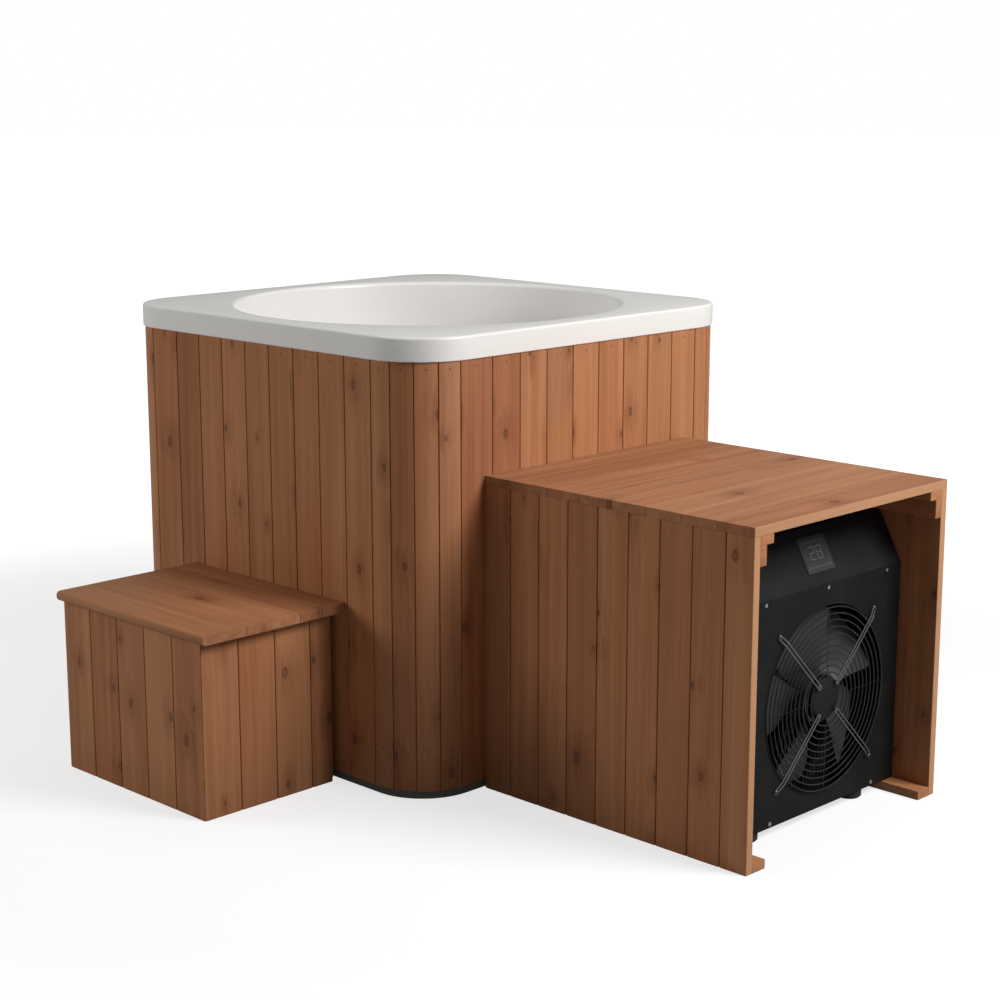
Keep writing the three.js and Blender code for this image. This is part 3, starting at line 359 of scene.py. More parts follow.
@dataclass(frozen=True)
class Wood(Finish):
    """Oiled softwood with streaks, fine fibres, knots and a tone for each board."""

    pale: Colour
    dark: Colour
    # Painted light: the lighter colour that marked faces take, standing in for light falling on them.
    painted_light: Colour
    axis: GrainAxis | None = None
    roughness: float = 0.56
    specular: float = 0.38
    base_shade: float = 0.17
    streaks: float = 1.0
    rings: float = 0.55
    fibres: float = 0.3
    patches: float = 0.5
    tone: float = 0.55
    drift_bend: float = 0.03
    knot_bend: float = 0.007
    red: Colour = (1.02, 0.965, 0.945)
    olive: Colour = (0.985, 1.025, 1.01)
    stain: Colour = (0.62, 0.52, 0.48)
    knot: Colour = (0.07, 0.022, 0.009)
    knot_share: float = 0.75
    knot_fineness: float = 8.0
    knot_stretch: float = 0.6
    smallest_knot: float = 0.4
    knot_growth: float = 0.9
    smudge_reach: tuple[float, float] = (0.045, 0.002)
    smudge_wobble: float = 0.05
    rim_reach: tuple[float, float] = (0.0085, 0.0045)
    heart_reach: tuple[float, float] = (0.0045, 0.001)
    rim_wobble: float = 0.006
    heart: float = 0.55
    knot_strength: float = 0.66
    stain_strength: float = 0.55
    stain_rings: float = 1.2
    # Share of painted light on marked faces.
    painted_light_strength: float = 0.75
    relief: float = 0.3
    relief_height: float = 0.0006

    def grain(self, graph: Graph) -> Triple:
        """Finds how far across, into and along the board a point lies.

        Args:
            graph: The material's graph.

        Returns:
            The three distances in metres.
        """
        if self.axis is None:
            return graph.split(graph.attribute("grain", "Vector"))
        parts = graph.split(graph.object_point())
        across, depth, along = self.axis.value
        return parts[across], parts[depth], parts[along]

    def knots(self, graph: Graph, across: Socket, along: Socket) -> tuple[Socket, Socket]:
        """Scatters knots along the boards.

        Args:
            graph: The material's graph.
            across: Distance across the board.
            along: Distance along the board.

        Returns:
            The distance from the nearest knot, scaled by its size, and one where that knot exists.
        """
        fineness = self.knot_fineness
        place = graph.vector(across * fineness, along * fineness * self.knot_stretch, 0.0)
        sockets = {"Vector": place, "Scale": 1.0}
        settings = {"voronoi_dimensions": "2D"}
        cells = graph.add("ShaderNodeTexVoronoi", settings, sockets, output="Distance")
        pick = graph.add("ShaderNodeSeparateColor", {}, {0: cells.sibling("Color")})
        size = self.smallest_knot + self.knot_growth * pick.sibling(1)
        return cells / (fineness * size), pick > (1 - self.knot_share)

    def shade(self, graph: Graph) -> None:
        """Fills the tree: streaks bend round the knots, and each board has its own tone."""
        across, depth, along = place = self.grain(graph)
        distance, exists = self.knots(graph, across, along)
        wobble = SMUDGES.noise(graph, place)
        smudge = graph.fade(distance + wobble * self.smudge_wobble, *self.smudge_reach) * exists
        bent = across + DRIFT.noise(graph, place) * self.drift_bend + smudge * self.knot_bend
        streaks, rings = (figure.noise(graph, (bent, depth, along)) for figure in (STREAKS, RINGS))
        fibres, patches = (figure.noise(graph, place) for figure in (FIBRES, PATCHES))
        tone, hue = 0.5, 0.5
        if self.axis is None:
            tone, hue, _ = graph.split(graph.attribute("tone", "Vector"))
        shade = self.base_shade + streaks * self.streaks + rings * self.rings
        shade = shade + fibres * self.fibres + patches * self.patches + tone * self.tone
        plain = graph.mix(shade, self.pale, self.dark)
        red, olive = (graph.mix(1.0, plain, tint, "MULTIPLY") for tint in (self.red, self.olive))
        tinted = graph.mix(hue, red, olive)
        stain = graph.mix(1.0, tinted, self.stain, "MULTIPLY")
        amount = smudge * (self.stain_strength + rings * self.stain_rings)
        stained = graph.mix(amount, tinted, stain)
        uneven = distance + wobble * self.rim_wobble
        rim, heart = graph.fade(uneven, *self.rim_reach), graph.fade(uneven, *self.heart_reach)
        core = (rim - self.heart * heart) * exists
        colour = graph.mix(core * self.knot_strength, stained, self.knot)
        if self.axis is None:
            # Marked faces get painted light: a lighter colour on the hood's front faces, where the key lamp
            # falls.
            painted_light_colour = graph.mix(rings + 0.3, self.painted_light, self.pale)
            colour = graph.mix(graph.attribute("painted_light") * self.painted_light_strength, colour, painted_light_colour)
        height = fibres * 0.5 + rings * 0.4 - core * 0.3
        graph.surface(
            Base_Color=colour,
            Roughness=self.roughness + 0.2 * fibres - 0.15 * rings,
            Normal=graph.bump(height, self.relief, self.relief_height),
            Specular_IOR_Level=self.specular,
        )


@dataclass(frozen=True)
class MouldedShell(Finish):
    """White moulded plastic with a soft gloss and the faint waviness of a drawn sheet."""

    colour: Colour
    roughness: float = 0.3
    mottle_scale: float = 9.0
    peel_scale: float = 420.0
    wave_scale: float = 3.0
    mottle: float = 0.35
    mottle_shade: float = 0.93
    peel: float = 0.06
    relief: float = 0.08
    relief_height: float = 0.004
    gloss_coat: float = 0.25
    coat_roughness: float = 0.12

    def shade(self, graph: Graph) -> None:
        """Fills the tree: faint mottle, faint waves and a thin gloss coat."""
        point = graph.object_point()
        mottle = graph.noise(point, self.mottle_scale, 3.0)
        peel = graph.noise(point, self.peel_scale)
        waves = graph.noise(point, self.wave_scale, 1.0)
        shaded = dimmed(self.colour, self.mottle_shade)
        graph.surface(
            Base_Color=graph.mix(mottle * self.mottle, self.colour, shaded),
            Roughness=self.roughness + 0.1 * mottle,
            Normal=graph.bump(peel * self.peel + waves, self.relief, self.relief_height),
            Coat_Weight=self.gloss_coat,
            Coat_Roughness=self.coat_roughness,
        )


@dataclass(frozen=True)
class Coated(Finish):
    """A coated or moulded surface: fine texture, faint dust and a little tone change."""

    colour: Colour
    roughness: float
    metallic: float = 0.0
    texture: float = 900.0
    relief: float = 0.1
    relief_height: float = 0.0004
    dust: float = 0.1
    dust_scale: float = 14.0
    dust_edges: tuple[float, float] = (0.42, 0.78)
    dust_tint: float = 0.06
    specular: float = 0.5

    def shade(self, graph: Graph) -> None:
        """Fills the tree: fine relief, blotches of dust, and roughness that follows both."""
        point = graph.object_point()
        fine = graph.noise(point, self.texture)
        blotch = graph.fade(graph.noise(point, self.dust_scale, 4.0, 0.6), *self.dust_edges)
        dusty = tuple(part + self.dust_tint * (1 - part) for part in self.colour)
        graph.surface(
            Base_Color=graph.mix(blotch * self.dust * 4 + fine * 0.06, self.colour, dusty),
            Roughness=self.roughness + 0.08 * fine + self.dust * blotch - 0.04,
            Metallic=self.metallic,
            Normal=graph.bump(fine, self.relief, self.relief_height),
            Specular_IOR_Level=self.specular,
        )


@dataclass(frozen=True)
class Glow(Finish):
    """Lit marks of a display."""

    colour: Colour
    strength: float
    roughness: float = 0.4
    uneven_scale: float = 60.0
    uneven_shade: float = 0.7

    def shade(self, graph: Graph) -> None:
        """Fills the tree: an even glow with a slight unevenness of the backlight."""
        uneven = graph.noise(graph.object_point(), self.uneven_scale)
        glow = graph.mix(uneven * 0.4, self.colour, dimmed(self.colour, self.uneven_shade))
        graph.surface(
            Base_Color=glow,
            Roughness=self.roughness,
            Emission_Color=glow,
            Emission_Strength=self.strength,
        )


# Painted light: a lighter wood colour for the hood's front faces, standing in for the key lamp's light
# falling on them.
BOARD_PAINTED_LIGHT = srgb(200, 155, 115)
BOARDS = Wood("oiled_boards", srgb(190, 132, 90), srgb(146, 88, 54), BOARD_PAINTED_LIGHT)
LID_BOARDS = Wood(
    "oiled_lid", srgb(180, 125, 86), srgb(136, 85, 54), BOARD_PAINTED_LIGHT, knot_share=0.3, streaks=1.3
)
LUMBER_UPRIGHT = Wood("lumber_upright", srgb(205, 165, 122), srgb(150, 106, 70), BOARD_PAINTED_LIGHT, GrainAxis.Z)
LUMBER_FRAME = Wood("lumber_frame", srgb(190, 148, 106), srgb(140, 98, 64), BOARD_PAINTED_LIGHT, GrainAxis.X)
SHELL = MouldedShell("moulded_shell", srgb(243, 241, 237))
BASE_PLASTIC = Coated("base_plastic", srgb(104, 110, 104), 0.6, relief=0.2)
FOAM = Coated("insulating_foam", srgb(232, 224, 198), 0.9, texture=260.0, relief=0.5)
PIPE_PLASTIC = Coated("pipe_plastic", srgb(214, 217, 218), 0.42, relief=0.06)
BRASS = Coated("valve_brass", srgb(196, 160, 92), 0.32, metallic=1.0, relief=0.08)
LEVER_PAINT = Coated("lever_paint", srgb(176, 48, 38), 0.42)
SHEET_PAINT = Coated(
    "black_sheet", srgb(16, 16, 16), 0.62, texture=1400.0, relief=0.14, dust=0.02, specular=0.15
)
INSIDE_PAINT = Coated("machine_black", srgb(36, 37, 38), 0.5)
SCREEN = Coated("screen_face", srgb(42, 43, 44), 0.45, relief=0.02, dust=0.02, specular=0.3)
MARKS = Glow("screen_marks", srgb(92, 94, 96), 0.03)
WIRE = Coated("guard_wire", srgb(26, 26, 26), 0.3, relief=0.04, dust=0.02)
STRUT = Coated("strut_wire", srgb(150, 150, 150), 0.3, metallic=1.0, relief=0.04, dust=0.02)
BLADE = Coated("fan_blade", srgb(62, 61, 59), 0.4, relief=0.05, dust=0.03, specular=0.35)
MOTOR = Coated("fan_motor_black", srgb(16, 16, 16), 0.55, relief=0.2, dust=0.02, specular=0.2)
FINS = Coated("fin_aluminium", srgb(196, 199, 201), 0.35, metallic=1.0)
RUBBER = Coated("foot_rubber", srgb(26, 27, 29), 0.82, texture=600.0, relief=0.3)
DARK_STEEL = Coated("dark_screw", srgb(70, 70, 70), 0.35, metallic=0.7, relief=0.05, dust=0.02)
BRIGHT_STEEL = Coated("bright_screw", srgb(196, 197, 198), 0.25, metallic=1.0, relief=0.05)
NAIL_STEEL = Coated("nail_head", srgb(78, 44, 30), 0.5, metallic=0.3, relief=0.1)

CORNERS = ("back_left", "front_right", "left_front", "right_back")
FEET = tuple(f"chiller_foot_{end}_{side}" for end in ("front", "rear") for side in ("left", "right"))
PANELS = ("base_pan", "front_panel", "left_side", "right_side", "rear_panel", "top_cover")
CAD_FINISHES: dict[Finish, tuple[str, ...]] = {
    BASE_PLASTIC: ("base_tray",),
    LUMBER_FRAME: ("top_frame", "bottom_frame"),
    LUMBER_UPRIGHT: tuple(f"corner_post_{corner}" for corner in CORNERS),
    FOAM: ("insulation_jacket", "insulation_base"),
    PIPE_PLASTIC: (
        "drain_pipe", "suction_fitting", "return_fitting",
        "suction_pipe", "return_pipe", "evaporator_tank",
    ),
    BRASS: ("drain_valve",),
    LEVER_PAINT: ("drain_lever",),
    SHEET_PAINT: tuple(f"chiller_{panel}" for panel in PANELS),
    RUBBER: FEET,
    FINS: ("condenser_coil",),
    INSIDE_PAINT: ("compressor", "circulation_pump"),
}


class Draft:
    """Points and faces of one piece, with the grain and tone of its boards and marks for faces that get
    painted light.
    """

    def __init__(self) -> None:
        """Starts an empty piece."""
        self.points: list[Point] = []
        self.faces: list[list[int]] = []
        self.grain: list[Point] = []
        self.tone: list[Point] = []
        # Faces that get painted light.
        self.painted_light_faces: set[int] = set()

    def _ring(self, ring: Sequence[Point]) -> list[int]:
        """Adds a ring of plain points.

        Args:
            ring: The points.

        Returns:
            Their numbers.
        """
        start = len(self.points)
        self.points.extend(ring)
        self.grain.extend(ring)
        self.tone.extend([(0.5, 0.5, 0.0)] * len(ring))
        return list(range(start, start + len(ring)))

    def _join(self, rings: Sequence[list[int]]) -> None:
        """Joins each ring to the next with quads.

        Args:
            rings: The rings' point numbers.
        """
        for first, second in zip(rings, rings[1:]):
            for i in range(len(first)):
                j = (i + 1) % len(first)
                self.faces.append([first[i], first[j], second[j], second[i]])

    def _cap(self, rings: Sequence[list[int]]) -> None:
        """Closes the first and the last ring with a face."""
        self.faces += [list(reversed(rings[0])), rings[-1]]

    def skin(self, rings: Sequence[Sequence[Point]], looped: bool = False) -> None:
        """Adds a skin through rings of points.

        Args:
            rings: The rings, each with the same count of points.
            looped: Whether the last ring joins the first; the end rings are closed otherwise.
        """
        numbered = [self._ring(ring) for ring in rings]
        self._join(numbered)
        if looped:
            self._join([numbered[-1], numbered[0]])
        else:
            self._cap(numbered)

    def board(
        self, section: Corners, start: float, end: float, place: Place, number: int, ease: float = 0.001
    ) -> None:
        """Adds one board: a section run along the grain, with eased ends.

        Args:
            section: Corners of the section as distances across and into the board.
            start: Where the board starts along the grain.
            end: Where it ends.
            place: Turns across, into and along into a point of the row's frame.
            number: The board's number, which sets its figure and tone.
            ease: Width of the eased edge at each end.
        """
        dice = random.Random(number * DICE_STEP + DICE_START)
        shift = [dice.uniform(0, GRAIN_SHIFT) for _ in range(3)]
        tone = (min(max(dice.gauss(0.5, TONE_SPREAD), 0.0), 1.0), dice.random(), 0.0)
        reach = [a for a, _ in section]
        middle = (sum(reach) / len(section), sum(b for _, b in section) / len(section))
        shrink = 1 - 2 * ease / (max(reach) - min(reach))
        rings = []
        for along, scale in ((start, shrink), (start + ease, 1.0), (end - ease, 1.0), (end, shrink)):
            ring = []
            for a, b in section:
                across = middle[0] + (a - middle[0]) * scale
                depth = middle[1] + (b - middle[1]) * scale
                ring.append(len(self.points))
                self.points.append(place(across, depth, along))
                self.grain.append((across + shift[0], depth + shift[1], along + shift[2]))
                self.tone.append(tone)
            rings.append(ring)
        self._join(rings)
        self._cap(rings)

    def mark_painted_light(self, gets_painted_light: Callable[[Vector], bool]) -> None:
        """Marks faces that get painted light: a lighter wood colour that stands in for light falling on
        them.

        Args:
            gets_painted_light: Tells from a face's middle whether it gets painted light.
        """
        for number, face in enumerate(self.faces):
            if gets_painted_light(sum((Vector(self.points[i]) for i in face), Vector()) / len(face)):
                self.painted_light_faces.add(number)

    def turned(self, profile: Corners, matrix: Matrix, facets: int) -> None:
        """Adds a turned form whose profile starts and ends on its axis.

        Args:
            profile: Radius and height pairs.
            matrix: Where it goes; its axis is Z.
            facets: Steps round the axis.
        """
        spokes = [(math.cos(turn), math.sin(turn)) for turn in full_turn(facets)]
        rings = []
        for radius, height in profile:
            ring = [Vector((radius * x, radius * y, height)) for x, y in spokes]
            rings.append([tuple(matrix @ point) for point in ring])
        self.skin(rings)

    def tube(self, path: Sequence[Vector], radius: float, sides: int = 8, looped: bool = False) -> None:
        """Adds a wire along a path.

        Args:
            path: The wire's middle line.
            radius: The wire's radius.
            sides: Facets round the wire.
            looped: Whether the wire is a ring.
        """
        count = len(path)
        rings = []
        for i, point in enumerate(path):
            before = path[(i - 1) % count] if looped else path[max(i - 1, 0)]
            after = path[(i + 1) % count] if looped else path[min(i + 1, count - 1)]
            forward = (after - before).normalized()
            side = forward.cross(Vector((1.0, 0.0, 0.0)))
            side = side.normalized() if side.length > 1e-3 else Vector((0.0, 1.0, 0.0))
            up = forward.cross(side)
            ring = [point + radius * (math.cos(t) * side + math.sin(t) * up) for t in full_turn(sides)]
            rings.append([tuple(corner) for corner in ring])
        self.skin(rings, looped)

    def slab(self, low: Point, high: Point, matrix: Matrix, ease: float) -> None:
        """Adds a plate with eased edges on its top.

        Args:
            low: Lowest corner.
            high: Highest corner.
            matrix: Where it goes.
            ease: Width of the eased edge.
        """
        rings = []
        for z, inset in ((low[2], 0.0), (high[2] - ease, 0.0), (high[2], ease)):
            x0, x1, y0, y1 = low[0] + inset, high[0] - inset, low[1] + inset, high[1] - inset
            ring = [(x0, y0, z), (x1, y0, z), (x1, y1, z), (x0, y1, z)]
            rings.append([tuple(matrix @ Vector(point)) for point in ring])
        self.skin(rings)

    def piece(
        self, name: str, finish: Finish, body: Body, slot: Slot, replaces: Sequence[str] = ()
    ) -> None:
        """Makes the object.

        Args:
            name: The piece's name.
            finish: Its finish.
            body: The body that it rides on.
            slot: The record's material slot; not used.
            replaces: Solids that it stands for.
        """
        mesh = bpy.data.meshes.new(name)
        mesh.from_pydata(self.points, [], self.faces)
        for label, values in (("grain", self.grain), ("tone", self.tone)):
            flat = [part for value in values for part in value]
            mesh.attributes.new(label, "FLOAT_VECTOR", "POINT").data.foreach_set("vector", flat)
        # Marks the faces that get painted light.
        marks = [float(number in self.painted_light_faces) for number in range(len(self.faces))]
        mesh.attributes.new("painted_light", "FLOAT", "FACE").data.foreach_set("value", marks)
        form = bmesh.new()
        form.from_mesh(mesh)
        bmesh.ops.recalc_face_normals(form, faces=form.faces)
        form.to_mesh(mesh)
        form.free()
        mesh.shade_smooth()
        mesh.set_sharp_from_angle(angle=SHARP_ANGLE)
        mesh.materials.append(finish.material())
        thing = bpy.data.objects.new(name, mesh)
        bpy.context.scene.collection.objects.link(thing)
        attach(thing, body.value)
        if replaces:
            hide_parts(*replaces)
        LOG.info("made %s with %d faces", name, len(self.faces))


def eased_section(a0: float, a1: float, b0: float, b1: float, ease: float) -> Corners:
    """Draws a rectangle, from a0 to a1 across and b0 to b1 into the board, with eased corners."""
    front = [(a0 + ease, b0), (a1 - ease, b0), (a1, b0 + ease), (a1, b1 - ease)]
    return front + [(a1 - ease, b1), (a0 + ease, b1), (a0, b1 - ease), (a0, b0 + ease)]


@dataclass(frozen=True)
class Seam:
    """The groove between two boards: open at the face, and closed behind by the boards' tongues."""

    groove: float = 0.0022
    depth: float = 0.005
    hairline: float = 0.00005
    ease: float = 0.0008

    def section(
        self,
        low: float,
        high: float,
        thickness: float,
        joins_low: bool = True,
        joins_high: bool = True,
        steps: int = 1,
    ) -> Corners:
        """Draws the section of a board that lies between two seams.

        Args:
            low: Where the board starts across the panel.
            high: Where it ends.
            thickness: The board's thickness.
            joins_low: Whether another board follows at its low end.
            joins_high: Whether another board follows at its high end.
            steps: Steps along its faces, so that they can follow a curve.

        Returns:
            The corners in order, as distances across and into the board.
        """
        face_low, face_high = low + self.groove / 2 * joins_low, high - self.groove / 2 * joins_high
        back_low, back_high = low + self.hairline * joins_low, high - self.hairline * joins_high
        inner = thickness - self.ease

        def line(start: float, end: float, into: float) -> Corners:
            """Divides a straight part of the section."""
            return [(start + (end - start) * k / steps, into) for k in range(steps + 1)]

        corners = line(face_low + self.ease, face_high - self.ease, 0.0) + [(face_high, self.ease)]
        if joins_high:
            corners += [(face_high, self.depth), (back_high, self.depth)]
        corners += [(back_high, inner)] + line(back_high - self.ease, back_low + self.ease, thickness)
        corners += [(back_low, inner)]
        if joins_low:
            corners += [(back_low, self.depth), (face_low, self.depth)]
        return corners + [(face_low, self.ease)]

    def places(self, start: float, first: float, step: float, end: float) -> list[float]:
        """Lists the seams of a panel.

        Args:
            start: Where the panel starts.
            first: Width of its first board.
            step: Width of the others.
            end: Where the panel ends, with a board of what is left.

        Returns:
            The seams, with both ends.
        """
        seams, seam = [start], start + first
        while seam < end - self.groove:
            seams.append(seam)
            seam += step
        return [*seams, end]


SEAM = Seam()


@dataclass
class TubShell:
    """White shell: skirt, flat rim, round lip, tapered basin wall and floor in one skin."""

    half: float = 0.522
    corner: float = 0.1432
    opening: float = 0.458
    top: float = 1.0055
    skirt: float = 0.0515
    edge: float = 0.006
    lower_edge: float = 0.0015
    lip: float = 0.01
    wall: float = 0.008
    floor: float = 0.125
    taper: float = 0.045
    fillet: float = 0.08
    drain: float = 0.0223
    drain_flat: float = 0.05
    around: int = 192
    steps: int = 6

    def wall_radius(self, height: float) -> float:
        """Finds the basin's inner radius at a height."""
        high = self.top - self.lip
        return self.opening - self.taper * (high - height) / (high - self.floor)

    def reach(self, inset: float, angle: float) -> float:
        """Finds how far the rounded square reaches in one direction.

        Args:
            inset: Distance inside the rim's edge.
            angle: The direction.

        Returns:
            The distance from the middle.
        """
        half, radius = self.half - inset, self.corner - inset
        flat = half - radius
        x, y = abs(math.cos(angle)), abs(math.sin(angle))
        side = half / max(x, y)
        if min(x, y) * side <= flat:
            return side
        along = flat * (x + y)
        return along + math.sqrt(along * along - 2 * flat * flat + radius * radius)

    def build(self) -> None:
        """Makes the shell's skin."""
        rings: list[list[Point]] = []
        angles = full_turn(self.around)
        turns = [math.pi / 2 * k / self.steps for k in range(self.steps + 1)]
        bends = [(1 - math.cos(turn), 1 - math.sin(turn)) for turn in turns]

        def square(inset: float, z: float) -> None:
            """Adds a rounded square ring."""
            reaches = [(self.reach(inset, t), t) for t in angles]
            rings.append([(r * math.cos(t), r * math.sin(t), z) for r, t in reaches])

        def circle(radius: float, z: float) -> None:
            """Adds a round ring."""
            rings.append([(radius * math.cos(t), radius * math.sin(t), z) for t in angles])

        bottom, under = self.top - self.skirt, self.floor - self.wall
        foot = self.wall_radius(self.floor + self.fillet)
        outer = self.fillet + self.wall
        square(self.lower_edge, bottom)
        square(0, bottom + self.lower_edge)
        for near, far in bends:
            square(self.edge * near, self.top - self.edge * far)
        for near, far in bends:
            circle(self.opening + self.lip * far, self.top - self.lip * near)
        for near, far in bends:
            circle(foot - self.fillet * near, self.floor + self.fillet * far)
        circle(self.drain + self.drain_flat, self.floor)
        circle(self.drain, self.floor)
        circle(self.drain, under)
        for near, far in reversed(bends):
            circle(foot + self.wall - outer * near, under + outer * far)
        high = self.top - self.wall - self.lip
        circle(self.wall_radius(high) + self.wall, high)
        circle(self.opening + self.wall + self.lip, self.top - self.wall)
        square(self.wall, self.top - self.wall)
        square(self.wall, bottom)
        draft = Draft()
        draft.skin(rings, looped=True)
        draft.piece("shell_skin", SHELL, Body.TUB, Slot.SHELL, ["tub_shell"])


@dataclass
class TubBoards:
    """Upright boards round the tub: wide and regular ones on the faces, narrow ones on the corners."""

    half: float = 0.5178
    corner: float = 0.139
    thickness: float = 0.015
    low: float = 0.0183
    high: float = 0.9537
    wide: float = 0.0932
    wide_reach: float = 0.077
    regular_count: int = 8
    corner_count: int = 4
    corner_board: float = 0.0526
    corner_steps: int = 8
    nail_below_top: float = 0.015
    nail_above_foot: float = 0.09
    nail_radius: float = 0.0019
    nail_sunk: float = 0.002
    nail_dome: float = 0.0004
    nail_facets: int = 10
    sides: tuple[str, ...] = ("front", "right", "back", "left")
    numbers_a_side: int = 40

    def point(self, along: float, inset: float, quarter: int) -> tuple[float, float]:
        """Finds a point of the outline.

        Args:
            along: Distance along the outline from the start of a face's flat.
            inset: Distance in from the boards' face.
            quarter: Which side it is on, counted round from the front.

        Returns:
            Its X and Y.
        """
        flat = self.half - self.corner
        reach = self.corner - inset
        if along < 0:
            turn, middle = along / self.corner, -flat
        elif along <= 2 * flat:
            turn, middle = 0.0, along - flat
        else:
            turn, middle = (along - 2 * flat) / self.corner, flat
        x, y = middle + reach * math.sin(turn), -flat - reach * math.cos(turn)
        for _ in range(quarter):
            x, y = -y, x
        return x, y

    def section(self, start: float, end: float) -> Corners:
        """Draws one board's section, with enough points to follow a corner."""
        curved = start < 0 or end > 2 * (self.half - self.corner)
        return SEAM.section(start, end, self.thickness, steps=self.corner_steps if curved else 1)

    def seams(self, corner: bool) -> list[float]:
        """Lists the seams along one face or corner.

        Args:
            corner: Whether it is a corner.

        Returns:
            The seams' distances along the outline.
        """
        quarter = 2 * (self.half - self.corner) + self.corner * math.pi / 2
        regular = (quarter - self.wide - self.corner_count * self.corner_board) / self.regular_count
        face = [self.wide_reach + i * regular for i in range(self.regular_count + 1)]
        if corner:
            face_end = self.wide_reach + self.regular_count * regular
            return [face_end + i * self.corner_board for i in range(self.corner_count + 1)]
        return [self.wide_reach - self.wide, *face]

    def build(self) -> None:
        """Makes the boards of each face and corner, and their nails."""
        for quarter, side in enumerate(self.sides):
            first = quarter * self.numbers_a_side
            pair = f"{side}_{self.sides[(quarter + 1) % len(self.sides)]}"
            for label, node, corner, start in (
                (side, f"cladding_{side}", False, FirstBoard.TUB_FACE),
                (pair, f"corner_boards_{pair}", True, FirstBoard.TUB_CORNER),
            ):
                self.run(f"boards_{label}", quarter, self.seams(corner), node, first + start)

    def run(self, name: str, quarter: int, seams: list[float], node: str, first: int) -> None:
        """Makes one run of boards with a nail near each end.

        Args:
            name: The piece's name.
            quarter: Which side it is on.
            seams: The seams along it.
            node: The solid that it stands for.
            first: Number of its first board.
        """
        boards, nails = Draft(), Draft()
        radius, sunk, dome = self.nail_radius, self.nail_sunk, self.nail_dome
        head = [(0.0, -sunk), (radius, -sunk), (radius, 0.0), (radius * 0.7, dome * 0.75), (0.0, dome)]

        def place(across: float, depth: float, along: float) -> Point:
            """Puts a board's point on the outline."""
            return *self.point(across, depth, quarter), along

        for i, (start, end) in enumerate(zip(seams, seams[1:])):
            boards.board(self.section(start, end), self.low, self.high, place, first + i)
            middle = (start + end) / 2
            face = Vector(place(middle, 0.0, 0.0))
            out = (face - Vector(place(middle, self.thickness, 0.0))).normalized()
            turn = out.to_track_quat("Z", "Y").to_matrix().to_4x4()
            for z in (self.low + self.nail_above_foot, self.high - self.nail_below_top):
                nails.turned(head, Matrix.Translation(face + Vector((0, 0, z))) @ turn, self.nail_facets)
        boards.piece(name, BOARDS, Body.TUB, Slot.BOARDS, [node])
        nails.piece(name.replace("boards", "nails"), NAIL_STEEL, Body.TUB, Slot.WIRE)


